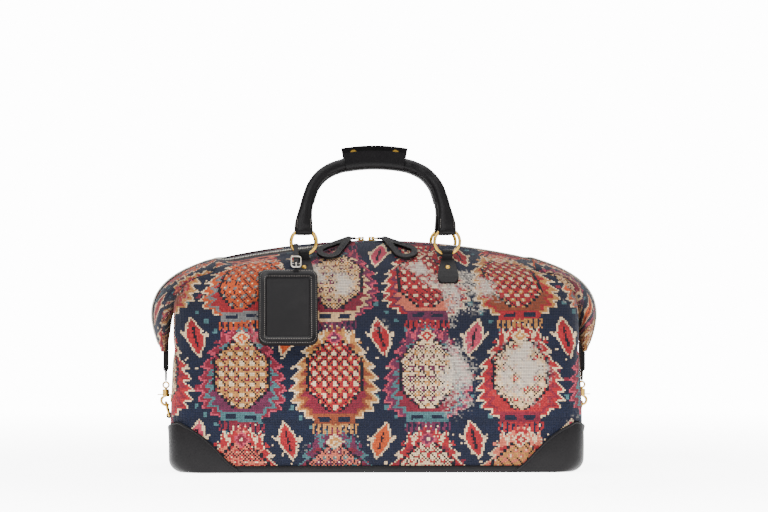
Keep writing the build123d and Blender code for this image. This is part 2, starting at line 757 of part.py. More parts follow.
def d_ring():
    """A D of wire: a straight bar in the chape and a bow that leans out to the hook."""
    lean = degrees(atan2(clip_x - ring_bar_x, d_ring_height))
    half = d_ring_half
    bow = ThreePointArc((-half, 5), (0, hypot(clip_x - ring_bar_x, d_ring_height)), (half, 5))
    frame = Part() + [
        rod((0, -half, 0), (0, half, 0), d_ring_wire),
        rod((0, half, 0), (0, half, 5), d_ring_wire),
        rod((0, -half, 0), (0, -half, 5), d_ring_wire),
        Pos(0, half, 0) * Sphere(d_ring_wire),
        Pos(0, -half, 0) * Sphere(d_ring_wire),
    ]
    bow_path = Plane.YZ * bow
    wire = Wire(bow_path.edges())
    frame += sweep(Plane(origin=wire @ 0, z_dir=wire % 0) * Circle(d_ring_wire), path=wire)
    return Pos(ring_bar_x, 0, d_ring_low_z) * Rot(0, lean, 0) * frame


def link():
    """The triangular wire link between the ear's tab and the swivel's eye."""
    corners = [(-link_half, link_top_z), (link_half, link_top_z), (0, link_low_z)]
    path = Plane.YZ.offset(clip_x) * FilletPolyline(*corners, radius=2.6, close=True)
    wire = Wire(path.edges())
    section = Plane(origin=wire @ 0, z_dir=wire % 0) * Circle(link_wire)
    return sweep(section, path=wire)


def swivel_eye():
    """The ring round the link, on the headed stem that the hook turns on."""
    eye = Pos(clip_x, 0, eye_z) * Rot(90, 0, 0) * Torus(eye_mean, eye_wire)
    stem = rod((clip_x, 0, barrel_top - 3.2), (clip_x, 0, eye_z - eye_mean), stem_r)
    head = rod((clip_x, 0, barrel_top - 4.6), (clip_x, 0, barrel_top - 3.2), stem_r + 0.9)
    return eye + stem + head


def snap_hook():
    """Barrel and open hook, made as one casting."""
    barrel = rod((clip_x, 0, barrel_low), (clip_x, 0, barrel_top), barrel_r)
    barrel = fillet(barrel.edges(), 1.0)
    stem_bore = rod((clip_x, 0, barrel_top - 3.0), (clip_x, 0, barrel_top + 2), stem_r + running)
    head_bore = rod((clip_x, 0, barrel_top - 4.8), (clip_x, 0, barrel_top - 3.0), stem_r + 0.9 + running)
    arc = ThreePointArc(
        (clip_x, hook_z + hook_mean),
        (clip_x + hook_mean, hook_z),
        (clip_x - hook_mean * sin(hook_open), hook_z - hook_mean * cos(hook_open)),
    )
    wire = Wire((Plane.XZ * arc).edges())
    bow = sweep(Plane(origin=wire @ 0, z_dir=wire % 0) * Circle(hook_wire), path=wire)
    slot = block((clip_x - 9, clip_x + 9), (-0.9, 0.9), (barrel_low - 1, barrel_low + 4.7))
    pin = rod((clip_x - 1.5, -3.2, gate_pin_z), (clip_x - 1.5, 3.2, gate_pin_z), gate_pin_r)
    below = block((clip_x - 3.0, clip_x + 9), (-9, 9), (barrel_low - 9, barrel_low + 0.01))
    slot -= below & bow
    return (barrel + bow) - stem_bore - head_bore - slot + pin


def trigger():
    """Thumb lever outside, gate inside, in one piece on the barrel's cross pin."""
    pivot_x = clip_x - 1.5
    hub = rod((pivot_x, -0.7, gate_pin_z), (pivot_x, 0.7, gate_pin_z), 1.5)
    lever = block((pivot_x, clip_x + 10.5), (-0.7, 0.7), (gate_pin_z - 0.5, gate_pin_z + 0.7))
    arm = block((gate_x - 1.2, pivot_x), (-0.7, 0.7), (gate_pin_z - 0.6, gate_pin_z + 0.6))
    gate_low = hook_z - hook_mean * cos(hook_open) + 1.9
    gate = block((gate_x - 1.2, gate_x + 0.1), (-0.7, 0.7), (gate_low, gate_pin_z))
    bore = rod((pivot_x, -4, gate_pin_z), (pivot_x, 4, gate_pin_z), gate_pin_r + running)
    return hub + lever + arm + gate - bore


clip_pieces = {
    "ear_tab": ear_tab() - ears["right"],
    "end_chape": end_chape(),
    "d_ring": d_ring(),
    "link": link(),
    "swivel_eye": swivel_eye(),
    "snap_hook": snap_hook(),
    "trigger": trigger(),
}
for piece_name, piece in clip_pieces.items():
    keep(f"{piece_name}_right", piece)
    keep(f"{piece_name}_left", mirror(piece, Plane.YZ))
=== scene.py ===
"""Looks of a carpet travel bag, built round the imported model.

Sizes are in millimetres and become metres only when a mesh is made. X runs along the bag,
-Y is its front, and Z is up from the floor.
"""

import logging
from dataclasses import dataclass
from enum import Enum
from math import pi

import bmesh
import bpy
import numpy as np
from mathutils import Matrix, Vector


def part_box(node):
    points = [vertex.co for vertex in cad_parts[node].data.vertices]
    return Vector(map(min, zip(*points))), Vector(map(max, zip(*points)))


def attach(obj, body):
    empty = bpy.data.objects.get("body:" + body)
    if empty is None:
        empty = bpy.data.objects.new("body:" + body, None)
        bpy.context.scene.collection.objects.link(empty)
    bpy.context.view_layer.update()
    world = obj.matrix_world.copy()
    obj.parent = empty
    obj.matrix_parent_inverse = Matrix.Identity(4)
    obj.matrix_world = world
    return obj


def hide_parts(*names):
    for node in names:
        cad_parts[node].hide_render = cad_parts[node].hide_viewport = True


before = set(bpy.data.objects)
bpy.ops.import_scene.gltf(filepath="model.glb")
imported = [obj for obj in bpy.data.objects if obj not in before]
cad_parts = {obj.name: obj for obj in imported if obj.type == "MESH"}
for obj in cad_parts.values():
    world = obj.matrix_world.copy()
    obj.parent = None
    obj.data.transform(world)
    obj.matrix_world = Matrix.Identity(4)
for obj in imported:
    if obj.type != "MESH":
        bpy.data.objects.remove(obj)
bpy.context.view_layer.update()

log = logging.getLogger("carpet_bag")
MM = 0.001
Colour = tuple[float, float, float]


def linear(code: str) -> Colour:
    """The linear colour of a six-digit hexadecimal code."""
    parts = (int(code[at:at + 2], 16) / 255 for at in (0, 2, 4))
    return tuple(part / 12.92 if part < 0.04045 else ((part + 0.055) / 1.055) ** 2.4 for part in parts)


# ---------------------------------------------------------------- arithmetic on arrays


def ease(value: np.ndarray, start: float, end: float) -> np.ndarray:
    """Rises smoothly from 0 at start to 1 at end: 3t^2 - 2t^3 of the clipped share t."""
    share = np.clip((value - start) / (end - start), 0.0, 1.0)
    return share * share * (3.0 - 2.0 * share)


def zigzag(value: np.ndarray, pitch: float) -> np.ndarray:
    """A triangle wave from 0 to 1 and back, once in every pitch."""
    return 1.0 - np.abs(2.0 * (value / pitch - np.floor(value / pitch)) - 1.0)


def unit(vectors: np.ndarray) -> np.ndarray:
    """Each vector over its own length."""
    return vectors / np.maximum(np.linalg.norm(vectors, axis=-1, keepdims=True), 1e-9)


def run_along(points: np.ndarray) -> np.ndarray:
    """The distance walked along a line of points, from 0 at its first."""
    return np.concatenate([[0], np.cumsum(np.linalg.norm(np.diff(points, axis=0), axis=1))])


def smooth_path(points: list[tuple[float, ...]], count: int) -> np.ndarray:
    """Points evenly spaced along a smooth line through the given ones.

    The line is a chain of cubic pieces whose slope at each given point is half the step between
    its two neighbours, measured afterwards so that the spacing is even.

    Args:
        points: The places the line passes through, of any number of coordinates.
        count: How many points come back.

    Returns:
        An array of count rows.
    """
    knots = np.array(points, float)
    slopes = np.gradient(knots, axis=0)
    fine = np.linspace(0, len(knots) - 1, 40 * len(knots))
    cell = np.minimum(fine.astype(int), len(knots) - 2)
    share = (fine - cell)[:, None]
    here, there = knots[cell], knots[cell + 1]
    curve = (here * (2 * share**3 - 3 * share**2 + 1) + there * (3 * share**2 - 2 * share**3)
             + slopes[cell] * (share**3 - 2 * share**2 + share) + slopes[cell + 1] * (share**3 - share**2))
    length = run_along(curve)
    even = np.linspace(0, length[-1], count)
    return np.stack([np.interp(even, length, curve[:, axis]) for axis in range(curve.shape[1])], axis=1)


# ---------------------------------------------------------------- meshes


def grid_faces(rows: int, columns: int, closed: bool = False) -> np.ndarray:
    """The quads of a grid of points, row after row.

    Args:
        rows: Rows of points.
        columns: Points in a row.
        closed: Whether the last point of a row joins the first.

    Returns:
        One row of four point numbers for each quad.
    """
    last = columns if closed else columns - 1
    down, across = np.meshgrid(np.arange(rows - 1), np.arange(last), indexing="ij")
    beside = (across + 1) % columns
    corners = [down * columns + across, down * columns + beside,
               (down + 1) * columns + beside, (down + 1) * columns + across]
    return np.stack([corner.ravel() for corner in corners], axis=1)


def make_mesh(name: str, points: np.ndarray, quads: np.ndarray, uv: np.ndarray | None = None,
              colours: np.ndarray | None = None, smooth: bool = True) -> bpy.types.Object:
    """Puts points and quads into a new object at the origin.

    Args:
        name: The object's name.
        points: Places in millimetres, one row each.
        quads: Four point numbers a row; a repeated last number makes a triangle.
        uv: Texture place of each point, if it has one.
        colours: Linear colour of each quad, if it has one.
        smooth: Whether the faces are shaded smoothly.

    Returns:
        The new object.
    """
    mesh = bpy.data.meshes.new(name)
    corners = [tuple(dict.fromkeys(quad)) for quad in quads.tolist()]
    mesh.from_pydata((points.reshape(-1, 3) * MM).tolist(), [], corners)
    mesh.polygons.foreach_set("use_smooth", np.full(len(corners), smooth))
    loop_point = np.zeros(len(mesh.loops), int)
    mesh.loops.foreach_get("vertex_index", loop_point)
    if uv is not None:
        layer = mesh.uv_layers.new(name="weave")
        layer.data.foreach_set("uv", uv.reshape(-1, 2)[loop_point].ravel())
    if colours is not None:
        sizes = np.array([len(corner) for corner in corners])
        rgba = np.concatenate([colours, np.ones((len(colours), 1))], axis=1)
        layer = mesh.color_attributes.new("knots", "FLOAT_COLOR", "CORNER")
        layer.data.foreach_set("color", np.repeat(rgba, sizes, axis=0).ravel())
    mesh.update()
    made = bpy.data.objects.new(name, mesh)
    bpy.context.scene.collection.objects.link(made)
    return made


def carry(path: np.ndarray, section: np.ndarray, side: np.ndarray | None = None) -> np.ndarray:
    """Carries a closed section along a path.

    A point is the path's point, plus its first section coordinate times the side direction, plus
    its second times the direction square to both side and path.

    Args:
        path: Stations along the path, one row each.
        section: Coordinates as stations x points x 2, or points x 2 for a constant section.
        side: Side direction at each station or one for all; X if not given.

    Returns:
        Places as stations x points x 3.
    """
    along = unit(np.gradient(path, axis=0))
    across = np.broadcast_to(np.array([1.0, 0, 0]) if side is None else side, path.shape)
    across = unit(across - along * np.sum(across * along, axis=1, keepdims=True))
    square = np.cross(along, across)
    shape = np.broadcast_to(section, (len(path),) + section.shape[-2:])
    return path[:, None] + shape[..., :1] * across[:, None] + shape[..., 1:] * square[:, None]


def capped(points: np.ndarray) -> tuple[np.ndarray, np.ndarray]:
    """The points and quads of a tube of rings, with each end drawn to a pole at its middle."""
    rings, count = points.shape[:2]
    first, last = points[0].mean(axis=0), points[-1].mean(axis=0)
    flat = np.concatenate([points.reshape(-1, 3), [first, last]])
    quads = grid_faces(rings, count, closed=True)
    here = np.arange(count)
    there = (here + 1) % count
    start = np.stack([there, here, np.full(count, rings * count), np.full(count, rings * count)], axis=1)
    tail = (rings - 1) * count
    end_pole = np.full(count, rings * count + 1)
    end = np.stack([tail + here, tail + there, end_pole, end_pole], axis=1)
    return flat, np.concatenate([quads, start, end])


def oval(count: int, half_width: np.ndarray | float, half_depth: np.ndarray | float,
         fullness: float = 2.0) -> np.ndarray:
    """A closed section |a/half_width|^n + |b/half_depth|^n = 1 with n the fullness."""
    turn = np.linspace(0, 2 * pi, count, endpoint=False)
    wide = np.sign(np.cos(turn)) * np.abs(np.cos(turn)) ** (2 / fullness)
    deep = np.sign(np.sin(turn)) * np.abs(np.sin(turn)) ** (2 / fullness)
    half_width = np.atleast_1d(half_width)[:, None]
    half_depth = np.atleast_1d(half_depth)[:, None]
    return np.stack([half_width * wide, half_depth * deep], axis=-1)


def outward(made: bpy.types.Object) -> bpy.types.Object:
    """Turns the faces of a closed piece outwards."""
    work = bmesh.new()
    work.from_mesh(made.data)
    bmesh.ops.recalc_face_normals(work, faces=work.faces)
    work.to_mesh(made.data)
    work.free()
    return made


def tube(name: str, path: np.ndarray, section: np.ndarray,
         side: np.ndarray | None = None) -> bpy.types.Object:
    """A closed tube of the section carried along the path, with capped ends."""
    return outward(make_mesh(name, *capped(carry(path, section, side))))


def joined(name: str, parts: list[bpy.types.Object]) -> bpy.types.Object:
    """One object of several at the origin, with their meshes side by side."""
    work = bmesh.new()
    for part in parts:
        work.from_mesh(part.data)
    mesh = bpy.data.meshes.new(name)
    work.to_mesh(mesh)
    work.free()
    for part in parts:
        bpy.data.objects.remove(part)
    made = bpy.data.objects.new(name, mesh)
    bpy.context.scene.collection.objects.link(made)
    return made


def scattered(name: str, grain: np.ndarray, quads: np.ndarray, places: np.ndarray,
              turns: np.ndarray) -> bpy.types.Object:
    """Copies one small shape to many places in one mesh.

    Args:
        name: The object's name.
        grain: The small shape's points, one row each.
        quads: Its faces.
        places: Where each copy goes.
        turns: Three axes for each copy, as copies x 3 x 3 with one axis a row.

    Returns:
        The new object.
    """
    points = places[:, None] + np.einsum("pa,nac->npc", grain, turns)
    steps = np.arange(len(places))[:, None, None] * len(grain)
    return make_mesh(name, points.reshape(-1, 3), (quads[None] + steps).reshape(-1, quads.shape[1]))


# ---------------------------------------------------------------- shader nodes


class Value:
    """A shader socket that takes part in ordinary arithmetic."""

    def __init__(self, graph: "Graph", socket: bpy.types.NodeSocket) -> None:
        """Keeps the graph it belongs to and its socket."""
        self.graph = graph
        self.socket = socket

    def _math(self, operation: str, first: object, second: object, clamp: bool = False) -> "Value":
        """One Math node of an operation on two values."""
        settings = {"operation": operation, "use_clamp": clamp}
        return self.graph.node("ShaderNodeMath", settings, {0: first, 1: second})

    def __add__(self, other: object) -> "Value":
        """self + other."""
        return self._math("ADD", self, other)

    __radd__ = __add__

    def __mul__(self, other: object) -> "Value":
        """self x other."""
        return self._math("MULTIPLY", self, other)

    __rmul__ = __mul__

    def __sub__(self, other: object) -> "Value":
        """self - other."""
        return self._math("SUBTRACT", self, other)

    def __rsub__(self, other: object) -> "Value":
        """other - self."""
        return self._math("SUBTRACT", other, self)

    def __pow__(self, other: object) -> "Value":
        """self to the power of other."""
        return self._math("POWER", self, other)

    def clamped(self) -> "Value":
        """self held between 0 and 1."""
        return self._math("ADD", self, 0.0, clamp=True)

    def sine(self) -> "Value":
        """The sine of self in radians."""
        return self._math("SINE", self, 0.0)

    def size(self) -> "Value":
        """self without its sign."""
        return self._math("ABSOLUTE", self, 0.0)


class Graph:
    """The node tree of one material."""

    def __init__(self, name: str) -> None:
        """Starts a material with a Principled shader and its output."""
        self.material = bpy.data.materials.new(name)
        self.material.use_nodes = True
        self.tree = self.material.node_tree
        self.tree.nodes.clear()
        self.shader = self.tree.nodes.new("ShaderNodeBsdfPrincipled")
        output = self.tree.nodes.new("ShaderNodeOutputMaterial")
        self.tree.links.new(self.shader.outputs[0], output.inputs[0])

    def feed(self, socket: bpy.types.NodeSocket, source: object) -> None:
        """Links a Value to a socket, or sets the socket to a plain value."""
        if isinstance(source, Value):
            self.tree.links.new(source.socket, socket)
        else:
            socket.default_value = source

    def node(self, kind: str, settings: dict[str, object], sockets: dict[object, object],
             output: int | str = 0) -> Value:
        """Adds one node.

        Args:
            kind: The node's type.
            settings: Its properties, set before its sockets.
            sockets: Values or links by input name or number.
            output: Which of its outputs comes back.

        Returns:
            The chosen output.
        """
        made = self.tree.nodes.new(kind)
        for key, setting in settings.items():
            setattr(made, key, setting)
        for key, source in sockets.items():
            self.feed(made.inputs[key], source)
        return Value(self, made.outputs[output])

    def mix(self, share: object, first: object, second: object) -> Value:
        """The colour that goes from first to second as share goes from 0 to 1."""
        settings = {"data_type": "RGBA", "clamp_factor": True}
        pair = [colour if isinstance(colour, Value) else (*colour, 1.0) for colour in (first, second)]
        return self.node("ShaderNodeMix", settings, {0: share, 6: pair[0], 7: pair[1]}, output=2)

    def place(self) -> Value:
        """The point's place on the object, in metres."""
        return self.node("ShaderNodeTexCoord", {}, {}, output="Object")

    def noise(self, scale: float, detail: float = 3.0, place: Value | None = None) -> Value:
        """Smooth noise from 0 to 1, with scale features to a unit of place."""
        where = self.place() if place is None else place
        return self.node("ShaderNodeTexNoise", {}, {"Vector": where, "Scale": scale, "Detail": detail})

    def cells(self, scale: float, feature: str = "F1") -> Value:
        """Distance to the nearest of scattered points, scale of them to a metre."""
        sockets = {"Vector": self.place(), "Scale": scale}
        return self.node("ShaderNodeTexVoronoi", {"feature": feature}, sockets)

    def dress(self, varying: dict[str, object], constants: dict[str, object], height: Value | None = None,
              depth: float = 0.001, strength: float = 1.0) -> bpy.types.Material:
        """Feeds the shader and returns the material.

        Args:
            varying: Values or links of the shader's sockets.
            constants: Plain numbers set on the shader's own sockets.
            height: What raises the surface, if anything does.
            depth: The bump's distance in metres.
            strength: The bump's strength.

        Returns:
            The finished material.
        """
        for key, source in {**varying, **constants}.items():
            plain = isinstance(source, tuple) and len(source) == 3
            self.feed(self.shader.inputs[key], (*source, 1.0) if plain else source)
        if height is not None:
            sockets = {"Height": height, "Distance": depth, "Strength": strength}
            bump = self.node("ShaderNodeBump", {}, sockets)
            self.feed(self.shader.inputs["Normal"], bump)
        return self.material


@dataclass(frozen=True)
class Leather:
    """Pebbled leather.

    Attributes:
        colour: Its dye.
        grain: Pebbles to the metre.
        relief: Depth of the pebbles in metres.
        roughness: How dull it is between scuffs.
    """

    colour: Colour = linear("070607")
    worn: Colour = linear("181616")
    grain: float = 900.0
    relief: float = 0.00032
    roughness: float = 0.4

    def material(self, name: str) -> bpy.types.Material:
        """Pebbles from cell distances, with soft scuffs that lift the colour and dull the shine."""
        graph = Graph(name)
        scuffs = graph.noise(28.0, 5.0)
        pebbles = graph.cells(self.grain)
        colour = graph.mix((scuffs - 0.5) * 1.2, self.colour, self.worn)
        colour = graph.mix(pebbles * 0.5, colour, self.colour)
        roughness = self.roughness + (scuffs - 0.5) * 0.12
        height = (1.0 - pebbles) + graph.noise(self.grain * 0.3, 2.0) * 0.4
        return graph.dress({"Base Color": colour, "Roughness": roughness},
                           {"Specular IOR Level": 0.08}, height, self.relief, 0.5)


@dataclass(frozen=True)
class Metal:
    """Cast or drawn metal with a thin uneven patina.

    Attributes:
        colour: Where it is bright.
        tarnish: Where it has dulled.
        roughness: How dull the bright parts are.
    """

    colour: Colour
    tarnish: Colour
    roughness: float = 0.24

    def material(self, name: str) -> bpy.types.Material:
        """Patina from two sizes of noise, with fine scratches in the roughness."""
        graph = Graph(name)
        patina = graph.noise(160.0, 4.0)
        scratches = graph.noise(1400.0, 2.0)
        colour = graph.mix((patina - 0.4) * 1.8, self.colour, self.tarnish)
        roughness = self.roughness + patina * 0.14 + scratches * 0.08
        return graph.dress({"Base Color": colour, "Roughness": roughness, "Metallic": 1.0}, {},
                           scratches, 0.00002, 0.3)


@dataclass(frozen=True)
class Cloth:
    """Plain woven cloth or board.

    Attributes:
        colour: Its yarn.
        shadow: Its colour between yarns, painted shade in the gaps.
        yarns: Yarns to the metre.
        roughness: How dull it is.
    """

    colour: Colour
    shadow: Colour
    yarns: float = 1500.0
    roughness: float = 0.85

    def material(self, name: str) -> bpy.types.Material:
        """Ribs from a sine along X and along Z, softened by noise; the colour falls to the shadow colour
        between ribs as painted shade.
        """
        graph = Graph(name)
        place = graph.node("ShaderNodeSeparateXYZ", {}, {0: graph.place()})
        parts = place.socket.node
        across = (Value(graph, parts.outputs["X"]) * (self.yarns * 2 * pi)).sine().size()
        up = (Value(graph, parts.outputs["Z"]) * (self.yarns * 2 * pi)).sine().size()
        weave = across * 0.5 + up * 0.5
        # painted shade: the colour falls to the shadow colour in the gaps between yarns
        colour = graph.mix(weave * 0.7 + graph.noise(40.0) * 0.3, self.shadow, self.colour)
        return graph.dress({"Base Color": colour, "Roughness": self.roughness}, {}, weave, 0.0002, 0.5)


@dataclass(frozen=True)
class Pile:
    """Knotted carpet pile coloured knot by knot from the mesh.

    Attributes:
        relief: How far a knot stands up, in metres.
        roughness: How dull the wool is.
    """

    relief: float = 0.0009
    roughness: float = 0.92

    def material(self, name: str) -> bpy.types.Material:
        """Each knot is a pillow, the product of two sines of the knot coordinates; its colour also darkens
        towards near-black between knots, painted shade in the gaps.
        """
        graph = Graph(name)
        knots = graph.node("ShaderNodeUVMap", {"uv_map": "weave"}, {})
        parts = graph.node("ShaderNodeSeparateXYZ", {}, {0: knots}).socket.node
        across = (Value(graph, parts.outputs["X"]) * pi).sine().size()
        up = (Value(graph, parts.outputs["Y"]) * pi).sine().size()
        pillow = (across * up) ** 0.5
        wool = graph.noise(1.3, 3.0, knots)
        dyed = graph.node("ShaderNodeVertexColor", {"layer_name": "knots"}, {})
        # painted shade: the dye is drawn towards near-black where the pillow falls between knots, times
        # random wool tone
        shade = (pillow * 0.55 + 0.45) * (wool * 0.5 + 0.75)
        colour = graph.mix(shade.clamped(), (0.012, 0.012, 0.02), dyed)
        return graph.dress({"Base Color": colour, "Roughness": self.roughness},
                           {"Sheen Weight": 0.06, "Sheen Roughness": 0.5, "Specular IOR Level": 0.08},
                           pillow + wool * 0.5, self.relief, 0.9)


class Finish(Enum):
    """The finishes of the bag, each with the material slot it belongs to."""

    CARPET = ("carpet", Pile())
    LEATHER = ("black_leather", Leather())
    SMOOTH = ("black_leather", Leather(grain=1500.0, relief=0.00009, roughness=0.36))
    THREAD = ("black_leather", Cloth(linear("5a544f"), linear("2a2725"), 3000.0, 0.6))
    LINING = ("lining_cloth", Cloth(linear("4a3f38"), linear("241f1c")))
    BOARD = ("board", Cloth(linear("5a5046"), linear("2f2923"), 900.0))
    CARD = ("card", Cloth(linear("d9d3c6"), linear("b8b1a2"), 2500.0))
    TAPE = ("zip_tape", Cloth(linear("26262a"), linear("0b0b0d"), 1800.0))
    TEETH = ("zip_metal", Metal(linear("b4b0a6"), linear("77736a"), 0.4))
    BRASS = ("brass", Metal(linear("b8923f"), linear("6f5626")))
    DARK = ("dark_metal", Metal(linear("3a3836"), linear("1b1a19"), 0.32))
    NICKEL = ("nickel", Metal(linear("9a958b"), linear("5d5951")))
    CORD = ("handle_cord", Cloth(linear("8d8574"), linear("5c5546"), 1200.0))

    @property
    def slot(self) -> str:
        """The material slot's name."""
        return self.value[0]

    def material(self) -> bpy.types.Material:
        """The finish's one material, made on first use."""
        name = "finish_" + self.name.lower()
        return bpy.data.materials.get(name) or self.value[1].material(name)


def place(made: bpy.types.Object, body: str, finish: Finish, *nodes: str) -> bpy.types.Object:
    """Dresses a piece, rides it on its body and hides the CAD nodes it stands for."""
    made.data.materials.clear()
    made.data.materials.append(finish.material())
    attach(made, body)
    if nodes:
        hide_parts(*nodes)
    log.info("%s on %s: %d faces", made.name, body, len(made.data.polygons))
    return made


# ---------------------------------------------------------------- the form of the bag


@dataclass(frozen=True)
class Form:
    """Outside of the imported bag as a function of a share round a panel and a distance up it.

    Attributes:
        half_length: Half the bag's length at its widest.
        ridge_half_length: Half the length of the ridge before the ears.
        foot: Height of the base's bottom edge.
        shoulder: Height where the wall turns into the roof.
        ridge: Height of the ridge over its middle.
        corner: Radius of the upright corners.
        arch: Radius of the ridge seen from the front.
    """

    half_length: float = 250.0
    ridge_half_length: float = 215.0
    foot: float = 0.0
    shoulder: float = 150.0
    ridge: float = 281.0
    corner: float = 24.0
    arch: float = 870.0
    roof_centre: tuple[float, float] = (-54.99, 132.21)
    roof_radius: float = 161.97
    foot_fillet: float = 16.0
    wall_swell: tuple[float, float] = (0.11333, -0.0010667)
    half_base: float = 113.0

    @property
    def wall(self) -> float:
        """Distance up the panel at which the roof begins."""
        return self.shoulder - self.foot

    @property
    def roof_start(self) -> float:
        """Angle of the roof arc at the shoulder."""
        return float(np.arcsin((self.shoulder - self.roof_centre[1]) / self.roof_radius))

    @property
    def height(self) -> float:
        """Distance up the whole panel, from the floor to the ridge."""
        end = float(np.arcsin((self.ridge - self.roof_centre[1]) / self.roof_radius))
        return self.wall + (end - self.roof_start) * self.roof_radius

    def profile(self, up: np.ndarray) -> tuple[np.ndarray, np.ndarray]:
        """Half depth and height at a distance up the panel.

        The wall is the parabola base + a z + b z^2, and the roof an arc about the roof centre.
        """
        z_wall = np.minimum(up, self.wall) + self.foot
        bow, droop = self.wall_swell
        depth_wall = self.half_base + bow * z_wall + droop * z_wall**2
        turn = self.roof_start + np.maximum(up - self.wall, 0) / self.roof_radius
        across, centre = self.roof_centre
        on_roof = up > self.wall
        depth = np.where(on_roof, across + self.roof_radius * np.cos(turn), depth_wall)
        height = np.where(on_roof, centre + self.roof_radius * np.sin(turn), z_wall)
        return depth, height

    def reach(self, height: np.ndarray) -> np.ndarray:
        """Half length at a height: round at the foot, upright, then drawn in to the ridge's end."""
        low = np.clip(self.foot_fillet - height, 0, self.foot_fillet)
        foot = self.foot_fillet - np.sqrt(self.foot_fillet**2 - low**2)
        drawn = (self.half_length - self.ridge_half_length) * ease(height, 196.0, self.ridge + 14.0)
        return self.half_length - foot - drawn

    def settle(self, points: np.ndarray, height: np.ndarray) -> np.ndarray:
        """Lowers the top of the bag to the arch and lets the cloth sag a little.

        The drop is the arch's fall at x times a share that grows towards the ridge, and the sag is
        a sum of slow sines.
        """
        x, y, z = points[..., 0], points[..., 1], points[..., 2]
        share = np.clip((height - 236.0) / (self.ridge - 236.0), 0, 1) ** 1.3
        fall = self.arch - np.sqrt(self.arch**2 - np.minimum(np.abs(x), 400.0) ** 2)
        sag = self.front_sag(x) * ease(height, 256.0, self.ridge - 3.0) * (y < 0)
        low = ease(height, 20.0, 70.0) * (1 - ease(height, 225.0, 270.0))
        wave = (np.sin(x / 37.0 + 0.6) * np.sin(z / 29.0 + 1.1) + 0.7 * np.sin(x / 71.0 - z / 43.0)) * 1.5
        pull = np.sign(y) * (wave - 1.0) * low * ease(np.abs(y), 40.0, 90.0)
        return np.stack([x, y + pull, z - share * fall - sag], axis=-1)

    @property
    def front_run(self) -> float:
        """Half the front's width over the cloth, with its corner's eighth of a turn."""
        return self.half_length - self.corner + self.corner * pi / 4

    @property
    def end_run(self) -> float:
        """Half a gusset's width over the cloth, with its corner's eighth of a turn."""
        return self.half_base - self.corner + self.corner * pi / 4

    @staticmethod
    def front_sag(x: np.ndarray) -> np.ndarray:
        """How far the front edge hangs below the zip, most over the left half."""
        return 8.5 * ease(-x, 25.0, 90.0) * (1 - ease(-x, 170.0, 208.0)) + 2.0 * ease(x, 60.0, 150.0)

    def front(self, share: np.ndarray, up: np.ndarray, inset: float = 0.0) -> np.ndarray:
        """Places on the front panel, from corner to corner.

        Args:
            share: From -1 to 1 along the panel, with a corner's half turn in its last part.
            up: Distance up the panel.
            inset: How far inside the outside face.

        Returns:
            Places with the shape of share and up together.
        """
        depth, height = self.profile(up)
        reach = self.reach(height)
        radius = np.minimum(self.corner, 0.8 * depth)
        full = self.half_length - self.corner
        along = np.abs(share) * self.front_run
        straight = np.minimum(along / full, 1.0) * (reach - radius)
        turn = np.maximum(along - full, 0) / self.corner
        x = np.sign(share) * (straight + (radius - inset) * np.sin(turn))
        y = -(depth - radius) - (radius - inset) * np.cos(turn)
        return self.settle(np.stack([x, y, height + 0 * x], axis=-1), height + 0 * x)

    def end(self, share: np.ndarray, up: np.ndarray, inset: float = 0.0) -> np.ndarray:
        """Places on the right gusset, from the front corner to the back one, dented under the ear."""
        depth, height = self.profile(up)
        reach = self.reach(height)
        radius = np.minimum(self.corner, 0.8 * depth)
        full = self.half_base - self.corner
        along = np.abs(share) * self.end_run
        straight = np.minimum(along / full, 1.0) * (depth - radius)
        turn = np.maximum(along - full, 0) / self.corner
        y = np.sign(share) * (straight + (radius - inset) * np.sin(turn))
        x = (reach - radius) + (radius - inset) * np.cos(turn)
        hollow = ease(height, 60.0, 170.0) * (1 - ease(height, 235.0, 262.0))
        dent = 9.0 * (1 - np.abs(share) ** 2.5) * hollow
        crease = 4.0 * np.exp(-((height - 118.0 - 34.0 * np.abs(share)) / 9.0) ** 2) * (1 - share**4)
        return self.settle(np.stack([x - dent - crease, y, height + 0 * x], axis=-1), height + 0 * x)


FORM = Form()


# ---------------------------------------------------------------- the carpet's pattern


class Dye(Enum):
    """The wools of the carpet."""

    NAVY = linear("1b2942")
    INK = linear("10141f")
    RED = linear("b23438")
    CRIMSON = linear("8f2f42")
    PURPLE = linear("7c3a58")
    PINK = linear("c4596c")
    SALMON = linear("d8836a")
    ORANGE = linear("cf6a2c")
    GOLD = linear("c8965a")
    BROWN = linear("9c5a36")
    CREAM = linear("e8d0ae")
    BEIGE = linear("d8b890")
    TEAL = linear("5f8386")
    GREY = linear("8b8a88")


DYES = np.array([dye.value for dye in Dye])
DYE_NUMBER = {dye: number for number, dye in enumerate(Dye)}


def cloudy(u: np.ndarray, v: np.ndarray, size: float, seed: int) -> np.ndarray:
    """Soft noise from 0 to 1: random heights on a square lattice, eased between its corners."""
    lattice = np.random.default_rng(seed).random((64, 64))
    a, b = u / size + 900.0, v / size + 900.0
    i, j = np.floor(a).astype(int), np.floor(b).astype(int)
    s, t = a - i, b - j
    s, t = s * s * (3 - 2 * s), t * t * (3 - 2 * t)
    low = lattice[i % 64, j % 64] * (1 - s) + lattice[(i + 1) % 64, j % 64] * s
    high = lattice[i % 64, (j + 1) % 64] * (1 - s) + lattice[(i + 1) % 64, (j + 1) % 64] * s
    return low * (1 - t) + high * t


